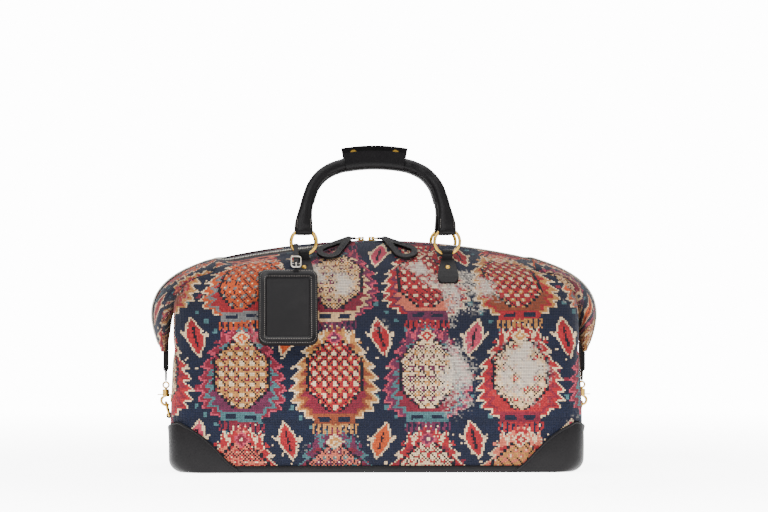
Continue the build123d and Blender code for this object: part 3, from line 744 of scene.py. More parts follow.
@dataclass(frozen=True)
class Medallion:
    """Dyes of one serrated medallion, from its edge to its middle."""

    outline: Dye
    first: Dye
    second: Dye
    field: Dye
    lattice: Dye
    star: Dye

    def paint(self, u: np.ndarray, v: np.ndarray, painted: np.ndarray) -> None:
        """Paints dye numbers where the medallion covers.

        Its half width follows a line through a few heights plus triangular teeth, and the dyes are
        bands of the distance in from that edge. A six-sided lattice lies in its middle.

        Args:
            u: Distance to the right of its middle.
            v: Distance above its middle.
            painted: The dye numbers, changed in place.
        """
        side = np.abs(u)
        heights = [-62, -56, -46, -38, -24, -8, 8, 22, 36, 48, 62]
        widths = [0, 20, 30, 43, 47, 45, 42, 35, 25, 14, 2]
        tooth = 9.5 * zigzag(v + 0.45 * side, 13.0) * (v > -52)
        edge = np.interp(v, heights, widths, left=-9, right=-9) + tooth
        depth = edge - side
        points = zigzag(u + 5.5, 11.0)
        spike = (v > 38) & (v < 62) & (side < 34 - 0.6 * (v - 38)) & (points > (v - 38) / 26)
        bands = ((0.0, self.outline), (3.4, self.first), (9.5, self.second), (15.5, self.field))
        for limit, dye in bands:
            painted[depth > limit] = DYE_NUMBER[dye]
        painted[spike] = DYE_NUMBER[self.outline]
        painted[spike & (points > (v - 34) / 24)] = DYE_NUMBER[self.first]
        rise = v - 1.0
        half = np.interp(np.abs(rise), [0, 20, 42, 43], [31, 31, 9, -5])
        half = np.floor(half / 4.4) * 4.4
        inside = side < half
        painted[(side < half + 3.6) & (np.abs(rise) < 45)] = DYE_NUMBER[Dye.INK]
        painted[inside] = DYE_NUMBER[self.lattice]
        p, q = (u + rise) / 12.5, (u - rise) / 12.5
        near = np.maximum(np.abs(p - np.round(p)), np.abs(q - np.round(q)))
        cross = np.minimum(np.abs(p - np.round(p)), np.abs(q - np.round(q)))
        odd = (np.round(p) + np.round(q)).astype(int) % 2 == 0
        star = inside & (near < 0.33) & ~((cross > 0.17) & (near > 0.22))
        painted[star & odd] = DYE_NUMBER[self.star]
        painted[star & ~odd] = DYE_NUMBER[self.first]
        painted[inside & (near < 0.12)] = DYE_NUMBER[Dye.CREAM]
        painted[inside & (near > 0.44) & (zigzag(p * 3, 1.0) > 0.5)] = DYE_NUMBER[Dye.INK]
        band = (side < 25) & (np.abs(v + 51) < 6)
        painted[band] = DYE_NUMBER[self.second]
        painted[band & (np.abs(side - 12) < 7) & (np.abs(v + 51) < 2.4)] = DYE_NUMBER[Dye.NAVY]
        comb = (side < 27) & (v < -57) & (v > -68) & (zigzag(u + 3.3, 6.6) > 0.45)
        painted[comb] = DYE_NUMBER[self.first]
        diamond = side + np.abs(v + 78) * 1.1
        painted[diamond < 11] = DYE_NUMBER[self.outline]
        painted[diamond < 7.5] = DYE_NUMBER[self.first]
        painted[diamond < 3] = DYE_NUMBER[Dye.CREAM]


def medallion(names: str) -> Medallion:
    """A medallion from the names of its six dyes, edge first."""
    return Medallion(*(Dye[name] for name in names.split()))


@dataclass(frozen=True)
class Carpet:
    """The carpet's repeat: columns of medallions with leaves between them.

    Attributes:
        column_pitch: Distance from one column to the next.
        row_pitch: Distance from one row to the next.
        first_column: Place of the left column of the front's four.
        first_row: Height of the lowest row's middles.
        knot: Width of a knot.
        richness: Power that deepens the dyes.
        depth: Share of the light that the wool gives back.
        rows: The medallions of the three rows, lowest first, each from the left.
        leaf_dyes: Dyes of the leaves, in turn.
        worn_patches: Middle and half size, across and up, of each bald patch.
    """

    column_pitch: float = 112.5
    row_pitch: float = 124.0
    first_column: float = -164.0
    first_row: float = -6.0
    knot: float = 2.05
    richness: float = 1.35
    depth: float = 0.5
    rows: tuple[tuple[Medallion, ...], ...] = (
        (medallion("CREAM RED SALMON CRIMSON SALMON RED"),
         medallion("TEAL PURPLE CRIMSON NAVY SALMON TEAL"),
         medallion("CREAM RED CRIMSON NAVY CREAM RED"),
         medallion("CREAM SALMON RED BROWN GOLD SALMON")),
        (medallion("PINK CRIMSON TEAL PURPLE GOLD CREAM"),
         medallion("CREAM GOLD BROWN CRIMSON RED CREAM"),
         medallion("PINK PURPLE TEAL CRIMSON CREAM GOLD"),
         medallion("CREAM RED CRIMSON RED BEIGE CREAM")),
        (medallion("CREAM ORANGE GREY RED ORANGE GREY"),
         medallion("PINK PURPLE BEIGE CRIMSON BEIGE GOLD"),
         medallion("CREAM RED PURPLE SALMON RED CREAM"),
         medallion("CREAM GOLD RED BROWN RED CREAM")),
    )
    leaf_dyes: tuple[Dye, ...] = (Dye.RED, Dye.ORANGE, Dye.RED, Dye.PINK)
    worn_patches: tuple[tuple[float, float, float, float], ...] = (
        (112.0, 226.0, 40.0, 26.0), (97.0, 116.0, 22.0, 40.0), (-44.0, 236.0, 16.0, 20.0),
        (176.0, 122.0, 30.0, 34.0), (52.0, 262.0, 18.0, 12.0), (-78.0, 250.0, 26.0, 16.0),
    )

    def colours(self, u: np.ndarray, v: np.ndarray) -> np.ndarray:
        """The linear colour of the knots at given places.

        Args:
            u: Distance to the right of the front's middle, over the cloth.
            v: Distance up the cloth from the floor.

        Returns:
            One colour for each place.
        """
        slip = (cloudy(0 * u, v, 2.1, 11) - 0.5) * 2.2
        u = u + slip
        v = v + (cloudy(u, v, 60.0, 12) - 0.5) * 5.0
        painted = np.full(u.shape, DYE_NUMBER[Dye.NAVY])
        self.ground(u, v, painted)
        for row in range(-1, 4):
            for column in range(-5, 10):
                piece = self.rows[row % 3][column % 4]
                middle = self.first_column + column * self.column_pitch
                right, above = u - middle, v - (self.first_row + row * self.row_pitch)
                near = (np.abs(right) < 66) & (above > -92) & (above < 66)
                if near.any():
                    part = painted[near]
                    piece.paint(right[near], above[near], part)
                    painted[near] = part
                self.leaf(right - self.column_pitch / 2, above - 46.0, (row + column) % 4, painted)
        colour = DYES[painted] ** self.richness * self.depth
        return self.aged(u, v, colour)

    def ground(self, u: np.ndarray, v: np.ndarray, painted: np.ndarray) -> None:
        """Small stepped hooks and specks on the navy ground, on a slanted lattice."""
        p, q = (u + v) / 23.0, (u - v) / 23.0
        near = np.abs(p - np.round(p)) + np.abs(q - np.round(q))
        which = (np.round(p) * 3 + np.round(q) * 5).astype(int) % 5
        painted[(near < 0.26) & (which == 0)] = DYE_NUMBER[Dye.CRIMSON]
        painted[(near < 0.22) & (which == 2)] = DYE_NUMBER[Dye.TEAL]
        painted[(near < 0.12) & (which == 3)] = DYE_NUMBER[Dye.CREAM]

    def leaf(self, right: np.ndarray, above: np.ndarray, which: int, painted: np.ndarray) -> None:
        """A leaning leaf: a stepped almond with a pale edge, a vein and two small prongs."""
        lean = right - 0.25 * above * (1 if which % 2 else -1)
        depth = 12.5 * (1 - (np.abs(above) / 25.0) ** 1.6) - np.abs(lean)
        prong = (np.abs(above + 6 - np.abs(lean) * 0.6) < 2.6) & (np.abs(lean) < 17)
        painted[prong] = DYE_NUMBER[Dye.CREAM]
        painted[depth > 0] = DYE_NUMBER[Dye.CREAM]
        painted[depth > 2.6] = DYE_NUMBER[self.leaf_dyes[which]]
        painted[(depth > 2.6) & (np.abs(lean) < 1.6) & (np.abs(above) < 12)] = DYE_NUMBER[Dye.INK]

    def aged(self, u: np.ndarray, v: np.ndarray, colour: np.ndarray) -> np.ndarray:
        """Fades and wears the wool: dye lots in bands, bald patches with pale weft, odd knots."""
        rng = np.random.default_rng(5)
        knot = rng.random(u.shape)
        lot = 0.82 + 0.36 * cloudy(0 * u, v, 9.0, 3) * cloudy(u, v, 90.0, 4) * 2
        shade = lot * (0.78 + 0.44 * knot)
        colour = colour * shade[..., None]
        bald = np.zeros(u.shape)
        for middle_u, middle_v, half_u, half_v in self.worn_patches:
            reach = ((u - middle_u) / half_u) ** 2 + ((v - middle_v) / half_v) ** 2
            bald = np.maximum(bald, np.exp(-reach * 0.9))
        bald = bald * (0.35 + 0.9 * cloudy(u, v, 14.0, 7)) + 0.25 * (cloudy(u, v, 30.0, 8) > 0.86)
        speckle = rng.random(u.shape) * 0.55
        share = np.clip((bald - speckle * 0.75 - 0.12) * 2.2, 0, 0.85)
        stripe = 0.75 + 0.25 * (np.floor(v / self.knot) % 2)
        pale = np.array(linear("dfd3c2"))[None] * self.depth * stripe[..., None]
        return colour * (1 - share[..., None]) + pale * share[..., None]


CARPET = Carpet()


# ---------------------------------------------------------------- sub-assemblies


@dataclass
class CarpetShell:
    """The four sewn carpet panels.

    Attributes:
        hem: Height of the panels' lower edge, inside the leather tray.
        thickness: Thickness of the carpet.
    """

    hem: float = 6.0
    thickness: float = 2.6

    def build(self) -> None:
        """Builds the front, the back and the two gussets."""
        behind = FORM.front_run + FORM.end_run
        for name, on_front, mirrored, start in (
                ("carpet_front_panel", True, False, 0.0), ("carpet_back_panel", True, True, 17.0),
                ("gusset_right_panel", False, False, behind),
                ("gusset_left_panel", False, True, -behind)):
            run = FORM.front_run if on_front else FORM.end_run
            panel = self.panel(name, on_front, mirrored, run, start)
            place(panel, "bag", Finish.CARPET, name.removesuffix("_panel"))

    def panel(self, name: str, on_front: bool, mirrored: bool, run: float,
              start: float) -> bpy.types.Object:
        """One panel, a knot to a quad, thickened inwards.

        Args:
            name: The piece's name.
            on_front: Whether it is a long panel or a gusset.
            mirrored: Whether it is the one behind, or on the left.
            run: Its half width over the cloth.
            start: Where its middle is in the carpet's pattern.

        Returns:
            The panel.
        """
        columns = int(2 * run / CARPET.knot) + 1
        rows = int((FORM.height - self.hem) / CARPET.knot) + 1
        share = np.linspace(-1, 1, columns)[None, :]
        up = np.linspace(self.hem, FORM.height, rows)[:, None]
        points = (FORM.front if on_front else FORM.end)(share, up)
        if mirrored:
            points = points * np.array([-1.0, -1.0, 1.0])
        quads = grid_faces(rows, columns)
        u = start + share * run + 0 * up
        v = up + 0 * share
        middle = [(grid[:-1, :-1] + grid[1:, 1:]) / 2 for grid in (u, v)]
        colours = CARPET.colours(middle[0].ravel(), middle[1].ravel())
        across, above = np.meshgrid(np.arange(columns), np.arange(rows))
        knots = np.stack([across, above], axis=-1).astype(float)
        panel = make_mesh(name, points, quads, knots, colours)
        wall = panel.modifiers.new("carpet thickness", "SOLIDIFY")
        wall.thickness = self.thickness * MM
        wall.offset = -1.0
        return panel


def pushed(points: np.ndarray, distance: float) -> np.ndarray:
    """A grid of points moved along its own normals, the cross of its two directions."""
    normal = unit(np.cross(np.gradient(points, axis=1), np.gradient(points, axis=0)))
    return points + normal * distance


@dataclass
class Lining:
    """The cloth lining, a smaller copy of the shell inside the carpet.

    Attributes:
        inset: How far inside the carpet's face it lies.
        floor: Height of its floor, over the base board.
    """

    inset: float = 5.0
    floor: float = 7.5

    def build(self) -> None:
        """Builds the four walls and the floor as one piece."""
        share = np.linspace(-1, 1, 90)[None, :]
        up = np.linspace(self.floor, FORM.height - 3.0, 60)[:, None]
        parts = []
        for turn in (np.array([1.0, 1.0, 1.0]), np.array([-1.0, -1.0, 1.0])):
            for panel in (FORM.front, FORM.end):
                walls = pushed(panel(share, up), -self.inset) * turn
                parts.append(make_mesh("lining_wall", walls, grid_faces(60, 90)))
        half_x, half_y = FORM.half_length - 11.0, FORM.half_base - 11.0
        floor = np.array([[-half_x, -half_y], [half_x, -half_y], [half_x, half_y], [-half_x, half_y]])
        floor = np.concatenate([floor, np.full((4, 1), self.floor)], axis=1)
        parts.append(make_mesh("lining_floor", floor, np.array([[0, 1, 2, 3]])))
        cloth = joined("lining_cloth", parts)
        wall = cloth.modifiers.new("cloth thickness", "SOLIDIFY")
        wall.thickness, wall.offset = 0.8 * MM, 0.0
        place(cloth, "bag", Finish.LINING, "lining")


@dataclass
class Ears:
    """The folded ends of the zip top, which hang down to the clips.

    Attributes:
        outer: Outer edge of the ear seen from the front, as x and z.
        inner: Its inner edge at the same stations.
        half_width: Half its width from front to back at the same stations.
        around: Points round a section.
        along: Sections down the fold.
    """

    outer: tuple[tuple[float, float], ...] = (
        (196, 258), (215, 252), (233, 244.5), (248, 235.5), (260, 225), (268.5, 213), (273, 200),
        (274, 186), (272, 170), (268.5, 156), (264.5, 143.5))
    inner: tuple[tuple[float, float], ...] = (
        (196, 226), (212, 224), (224, 220), (234, 214), (241, 207), (246.5, 199), (249.5, 190),
        (251.5, 179), (253.5, 166), (255.5, 154), (257.6, 143.5))
    half_width: tuple[float, ...] = (58, 66, 71, 72, 69, 62, 53, 43, 31, 21, 14.5)
    around: int = 84
    along: int = 92

    def build(self) -> None:
        """Builds both ears as tubes of full oval sections carried down the fold."""
        stations = [(*out, *inn, wide) for out, inn, wide in zip(self.outer, self.inner, self.half_width)]
        line = smooth_path(stations, self.along)
        outer, inner, wide = line[:, 0:2], line[:, 2:4], line[:, 4]
        middle, depth = (outer + inner) / 2, (outer - inner) / 2
        section = oval(self.around, 1.0, 1.0, 2.7)[0]
        flat = section[None, :, 1] * (1 - 0.16 * section[None, :, 0] ** 2)
        x = middle[:, None, 0] + depth[:, None, 0] * flat
        z = middle[:, None, 1] + depth[:, None, 1] * flat
        fold = 1.3 * np.sin(np.arange(self.along) / 6.0)[:, None] * np.abs(section[None, :, 0]) ** 3
        y = wide[:, None] * section[None, :, 0] + fold
        rings = np.stack([x, y, z], axis=-1)
        for name, side in (("right", 1.0), ("left", -1.0)):
            points, quads = capped(rings * np.array([side, side, 1.0]))
            run = run_along(outer)
            girth = np.linspace(0, 1, self.around, endpoint=False) * 4 * wide[:, None]
            u = side * 240 + np.concatenate([girth.ravel(), [0, 0]])
            v = np.concatenate([np.repeat(265 - run, self.around), [265, 100]])
            middle_u, middle_v = u[quads].mean(axis=1), v[quads].mean(axis=1)
            knots = np.stack([u, v], axis=1) / CARPET.knot
            ear = make_mesh("ear_" + name, points, quads, knots, CARPET.colours(middle_u, middle_v))
            place(outward(ear), "bag", Finish.CARPET)


@dataclass
class Zip:
    """Tapes, edge binding and teeth along the arch and down the ears.

    Attributes:
        pitch: Distance from one tooth to the next.
        hinge: Distance from the middle at which the front tape starts to hang.
        edge: Distance from the middle at which it meets the carpet.
        tooth: Length, reach and height of a tooth.
        lean_out: How far the teeth come forward for each unit of the front edge's sag.
        lean_down: How far they drop for each unit of it.
        back_lift: How far the back binding stands above the front one.
    """

    pitch: float = 2.1
    hinge: float = 3.6
    edge: float = 9.5
    tooth: tuple[float, float, float] = (1.5, 4.6, 2.6)
    lean_out: float = 0.42
    lean_down: float = 0.5
    back_lift: float = 1.6

    def crown(self, count: int, inset: float) -> np.ndarray:
        """The line over the ridge and both ears, as x and z, an inset inside the CAD crown."""
        ear = [(196, 260.4), (206, 257.4), (215, 254.4), (234, 246.6), (249.6, 237.6), (262, 227.0),
               (270.8, 214.6), (275.6, 201), (276.6, 186.5), (274.0, 170.6), (269.8, 156.6), (265.8, 147)]
        reach = np.linspace(-186, 186, 40)
        arch = [(x, FORM.ridge - FORM.arch + (FORM.arch**2 - x**2) ** 0.5) for x in reach]
        whole = [(-x, z) for x, z in reversed(ear)] + arch + ear
        line = smooth_path(whole, count)
        slope = unit(np.gradient(line, axis=0))
        return line + inset * np.stack([slope[:, 1], -slope[:, 0]], axis=1)

    def strip(self, name: str, near: float, far: float, rise_near: float, rise_far: float,
              thick: float) -> bpy.types.Object:
        """A flat band beside the teeth, its cross-section a rounded bar carried along the crown.

        Args:
            name: The piece's name.
            near: Y of its edge beside the teeth.
            far: Y of its other edge.
            rise_near: Height of the near edge over the crown.
            rise_far: Height of the far edge over the crown.
            thick: Its thickness.

        Returns:
            The band.
        """
        line = self.crown(260, 1.6)
        path = np.stack([line[:, 0], 0 * line[:, 0], line[:, 1]], axis=1)
        bar = oval(12, 1.0, thick / 2, 4.0)[0]
        share = (bar[:, 0] + 1) / 2
        across = near + (far - near) * share
        up = bar[:, 1] + rise_near + (rise_far - rise_near) * share
        out = np.clip((np.abs(across) - self.hinge) / (self.edge - self.hinge), 0, 1)
        sag = FORM.front_sag(path[:, 0])[:, None] * out[None] * (far < 0)
        along = unit(np.gradient(path, axis=0))
        over = np.stack([-along[:, 2], 0 * along[:, 0], along[:, 0]], axis=1)
        rings = path[:, None] + up[None, :, None] * over[:, None]
        rings = rings + across[None, :, None] * np.array([0, 1.0, 0])
        rings = rings - sag[..., None] * np.array([0, 0, 1.0])
        return outward(make_mesh(name, *capped(rings)))

    def build(self) -> None:
        """Builds both tapes, both leather bindings and the two rows of teeth."""
        for name, side in (("front", -1.0), ("back", 1.0)):
            tape = self.strip(f"tape_{name}", side * 2.4, side * 10.5, -0.9, -1.4, 1.0)
            place(tape, "bag", Finish.TAPE, f"zip_tape_{name}")
            lift = self.back_lift * (side > 0)
            binding = self.strip(f"zip_binding_{name}", side * 9.6, side * 12.6, lift - 0.6,
                                 lift - 1.6, 1.8)
            place(binding, "bag", Finish.LEATHER)
            place(self.teeth(name, side), "bag", Finish.TEETH, f"zip_teeth_{name}")

    def teeth(self, name: str, side: float) -> bpy.types.Object:
        """One row of teeth: a small bevelled block at every pitch along the crown, half a pitch off."""
        length = 640
        line = self.crown(length * 2, 0.9)
        run = run_along(line)
        start = 6.0 + (self.pitch / 2 if side > 0 else 0)
        at = np.arange(start, run[-1] - 6.0, self.pitch)
        x, z = np.interp(at, run, line[:, 0]), np.interp(at, run, line[:, 1])
        slope = unit(np.gradient(np.stack([x, z], axis=1), axis=0))
        along = np.stack([slope[:, 0], 0 * x, slope[:, 1]], axis=1)
        over = np.stack([-slope[:, 1], 0 * x, slope[:, 0]], axis=1)
        across = np.broadcast_to(np.array([0, 1.0, 0]), along.shape)
        half_pitch, reach, tall = self.tooth
        ring = np.array([[-1, -1], [1, -1], [1, 0.5], [0.55, 1], [-0.55, 1], [-1, 0.5]]) * 0.5
        near, far = (np.stack([ring[:, 0] * half_pitch, np.full(6, at_y), ring[:, 1] * tall], axis=1)
                     for at_y in (-side * 0.9, side * (reach - 1.4)))
        grain = np.concatenate([near, far])
        quads = np.concatenate([grid_faces(2, 6, closed=True), [[0, 1, 2, 3], [3, 4, 5, 0],
                                                                [6, 7, 8, 9], [9, 10, 11, 6]]])
        lean = FORM.front_sag(x) * (x < 0)
        places = np.stack([x, -self.lean_out * lean, z - self.lean_down * lean], axis=1)
        row = scattered(f"teeth_{name}", grain, quads, places, np.stack([along, across, over], axis=1))
        return outward(row)


@dataclass
class LeatherTrim:
    """The base tray and the four corner patches, as cloth-thin leather over the carpet.

    Attributes:
        lip: Height of the tray's edge.
        patch_height: Height of a corner patch at the corner.
        patch_reach: How far a patch runs along each side at the foot.
        stand_off: How far the leather stands outside the carpet.
    """

    lip: float = 8.6
    patch_height: float = 60.0
    patch_reach: float = 56.0
    stand_off: float = 1.5

    def span(self, lift: np.ndarray) -> np.ndarray:
        """How far a patch runs each way from the corner at a share of its height."""
        return self.patch_reach * (1 - lift**1.06) + 15.0 * (1 - lift**6) + 3.5

    @staticmethod
    def round_corner(along: np.ndarray, up: np.ndarray, stand_off: float) -> np.ndarray:
        """Places over the front right corner.

        Args:
            along: Distance past the corner over the cloth, below 0 on the long panel.
            up: Distance up the cloth.
            stand_off: How far outside the carpet.

        Returns:
            Places with the shape of along and up together.
        """
        on_front = FORM.front(1 + np.minimum(along, 0) / FORM.front_run, up, -stand_off)
        on_end = FORM.end(-1 + np.maximum(along, 0) / FORM.end_run, up, -stand_off)
        return np.where((along < 0)[..., None], on_front, on_end)

    def patch(self, name: str, front: float, side: float) -> bpy.types.Object:
        """One corner patch: half on the long panel and half on the gusset.

        A row at height share h runs from the front edge reach x (1 - h) before the corner to the
        same distance past it, so its top edges slope up to a point.
        """
        rows, columns = 40, 60
        lift = np.linspace(0, 1, rows)[:, None]
        step = np.linspace(-1, 1, columns)[None, :]
        up = 0.6 + lift * self.patch_height
        points = self.round_corner(step * self.span(lift), up, self.stand_off)
        facing = unit(points * np.array([0.35, 1.0, 0.0]))
        puff = 0.8 * np.sin(pi * lift) * (1 - np.abs(step) ** 4)
        points = points + facing * puff[..., None]
        points = points * np.array([side, front, 1.0])
        patch = make_mesh(name, points, grid_faces(rows, columns))
        if side * front < 0:
            patch.data.flip_normals()
        wall = patch.modifiers.new("leather thickness", "SOLIDIFY")
        wall.thickness, wall.offset = 1.6 * MM, -0.5
        edge = patch.modifiers.new("turned edge", "BEVEL")
        edge.width, edge.segments = 0.6 * MM, 2
        return patch

    def welt(self, name: str, front: float, side: float) -> bpy.types.Object:
        """The thin piping sewn along a patch's sloping edges, a round cord on the carpet."""
        lift = np.concatenate([np.linspace(0.06, 1, 40), np.linspace(1, 0.06, 40)[1:]])
        step = np.concatenate([np.full(40, -1.0), np.full(39, 1.0)])
        up = 0.6 + lift * self.patch_height
        path = self.round_corner(step * self.span(lift), up, self.stand_off + 0.3)
        path = path * np.array([side, front, 1.0])
        return tube(name, smooth_path([tuple(point) for point in path[::3]], 90), oval(10, 1.5, 1.5)[0],
                    np.array([0.6 * side, 0.8 * front, 0.0]))

    def tray(self) -> bpy.types.Object:
        """The base: a closed skin from the middle of the bottom out and up to the lip."""
        up = np.array([0.0, 1.2, 3.0, 5.0, 7.0, self.lip, self.lip])[:, None]
        out = np.array([0.6, 1.3, 1.7, 1.7, 1.6, 1.2, -2.2])[:, None]
        share = np.linspace(-1, 1, 120, endpoint=False)[None, :]
        end_share = np.linspace(-1, 1, 50, endpoint=False)[None, :]
        rings = []
        for side in (1.0, -1.0):
            turn = np.array([side, side, 1.0])
            rings += [FORM.front(share, up) * turn, FORM.end(end_share, up) * turn]
        loop = np.concatenate(rings, axis=1)
        outwards = unit(loop * np.array([0.25, 1.0, 0.0]))
        loop = loop + outwards * out[..., None]
        inner = loop[:1] * np.array([0.985, 0.97, 1.0])
        points, quads = capped(np.concatenate([inner, loop]))
        return outward(make_mesh("base_tray", points, quads))

    def build(self) -> None:
        """Builds the tray, and a patch with its welt at each corner."""
        place(self.tray(), "bag", Finish.LEATHER, "base_leather")
        for front_name, front in (("front", 1.0), ("back", -1.0)):
            for side_name, side in (("right", 1.0), ("left", -1.0)):
                corner = f"{front_name}_{side_name}"
                patch = self.patch(f"patch_{corner}", front, side)
                place(patch, "bag", Finish.LEATHER, f"corner_patch_{corner}")
                place(self.welt(f"patch_welt_{corner}", front, side), "bag", Finish.LEATHER)


def stitched(name: str, path: np.ndarray, facing: np.ndarray, pitch: float, length: float,
             radius: float) -> bpy.types.Object:
    """A row of stitches: a small six-sided bead at every pitch along a path, its ends drawn in.

    Args:
        name: The object's name.
        path: The seam, one row a point.
        facing: The direction the leather faces, for each point or all.
        pitch: Distance between stitches.
        length: Length of a stitch.
        radius: Half its width.

    Returns:
        The stitches in one mesh.
    """
    run = run_along(path)
    at = np.arange(pitch / 2, run[-1], pitch)
    places = np.stack([np.interp(at, run, path[:, axis]) for axis in range(3)], axis=1)
    ahead = np.stack([np.interp(at + 0.3, run, path[:, axis]) for axis in range(3)], axis=1)
    behind = np.stack([np.interp(at - 0.3, run, path[:, axis]) for axis in range(3)], axis=1)
    along = unit(ahead - behind)
    face = np.broadcast_to(facing, path.shape)
    up = unit(np.stack([np.interp(at, run, face[:, axis]) for axis in range(3)], axis=1))
    across = unit(np.cross(along, up))
    stations = np.array([-0.5, -0.3, 0.3, 0.5]) * length
    girth = np.array([0.45, 1.0, 1.0, 0.45]) * radius
    turn = np.linspace(0, 2 * pi, 6, endpoint=False)
    rings = np.stack([np.broadcast_to(stations[:, None], (4, 6)), girth[:, None] * np.cos(turn),
                      girth[:, None] * np.sin(turn)], axis=-1)
    grain, quads = capped(rings)
    return outward(scattered(name, grain, quads, places, np.stack([along, across, up], axis=1)))


def rounded_loop(half_width: float, half_height: float, radius: float, count: int) -> np.ndarray:
    """Even points round a rectangle with round corners, as x and z about its middle."""
    turn = np.linspace(0, 2 * pi, 41)[:-1]
    corner_x = np.sign(np.cos(turn + 1e-6)) * (half_width - radius) + radius * np.cos(turn)
    corner_z = np.sign(np.sin(turn + 1e-6)) * (half_height - radius) + radius * np.sin(turn)
    loop = np.stack([corner_x, corner_z], axis=1)
    loop = np.concatenate([loop, loop[:1]])
    run = run_along(loop)
    even = np.linspace(0, run[-1], count + 1)[:-1]
    return np.stack([np.interp(even, run, loop[:, 0]), np.interp(even, run, loop[:, 1])], axis=1)


@dataclass
class Handles:
    """The two rolled leather handles with flat folded ends.

    Attributes:
        half: Half the handle seen square on, as x and the distance up from its ring axis.
        widths: Half width of its section at those points.
        depths: Half thickness of its section at those points.
        leans: How far each leans inwards, in degrees.
        axis_depth: How far in front of the middle the ring axis lies.
        axis_height: Height of the axis that it turns on.
    """

    half: tuple[tuple[float, float], ...] = (
        (88, -5.2), (88, -1), (88, 8), (87, 19), (85, 31), (81.5, 46), (75.5, 62), (64, 76.5),
        (48, 86), (28, 91.2), (0, 93.2))
    widths: tuple[float, ...] = (10.6, 11.0, 10.8, 9.4, 8.0, 7.7, 7.7, 7.7, 7.7, 7.7, 7.7)
    depths: tuple[float, ...] = (2.0, 4.8, 4.4, 5.6, 7.0, 7.6, 7.7, 7.7, 7.7, 7.7, 7.7)
    leans: tuple[float, float] = (23.83, 25.38)
    axis_depth: float = 48.0
    axis_height: float = 293.34

    def build(self) -> None:
        """Builds both handles, each with a sewn seam along its inner side and stitches at its ends."""
        for name, front, lean in (("front", 1.0, self.leans[0]), ("back", -1.0, self.leans[1])):
            rows = zip(self.half, self.widths, self.depths)
            stations = [(x, up, wide, deep) for (x, up), wide, deep in rows]
            other = [(-x, up, wide, deep) for x, up, wide, deep in stations[:-1]]
            line = smooth_path(stations + other[::-1], 150)
            flat = np.stack([line[:, 0], 0 * line[:, 0], line[:, 1]], axis=1)
            section = oval(22, line[:, 3], line[:, 2], 2.3)
            rings = carry(flat, section, np.array([0.0, 1.0, 0.0]))
            rings = rings + 0.25 * np.sin(flat[:, 0] / 2.6)[:, None, None] * np.array([0, 1.0, 0])
            body = outward(make_mesh(f"grip_{name}", *capped(self.stand(rings, lean, front))))
            place(body, f"handle_{name}", Finish.LEATHER, f"handle_{name}", f"handle_cord_{name}")
            along = unit(np.gradient(flat, axis=0))
            inward = np.stack([along[:, 2], 0 * along[:, 0], -along[:, 0]], axis=1)
            seam = flat - inward * (line[:, 2:3] + 0.1)
            middle = slice(22, -22)
            welt = tube(f"grip_seam_{name}", self.stand(seam[middle], lean, front), oval(8, 0.8, 0.8)[0],
                        np.array([0.0, 1.0, 0.0]))
            place(welt, f"handle_{name}", Finish.LEATHER)
            rows = []
            ahead, still = self.stand(np.array([[0, -1.0, 0], [0, 0, 0]]), lean, front)
            for end in (-self.half[0][0], self.half[0][0]):
                for edge in (-8.6, 8.6):
                    path = np.array([[end + edge, -4.9, 1.0], [end + edge * 0.93, -4.6, 14.0]])
                    path = self.stand(path, lean, front)
                    rows.append(stitched("stitch_row", path, ahead - still, 2.6, 1.8, 0.32))
            place(joined(f"grip_stitches_{name}", rows), f"handle_{name}", Finish.THREAD)

    def stand(self, points: np.ndarray, lean: float, front: float) -> np.ndarray:
        """Points drawn upright over the ring axis, leaned inwards about it and set in place."""
        angle = np.radians(lean)
        y = points[..., 1] * np.cos(angle) + points[..., 2] * np.sin(angle) - self.axis_depth
        z = points[..., 2] * np.cos(angle) - points[..., 1] * np.sin(angle) + self.axis_height
        return np.stack([points[..., 0], y * front, z], axis=-1)


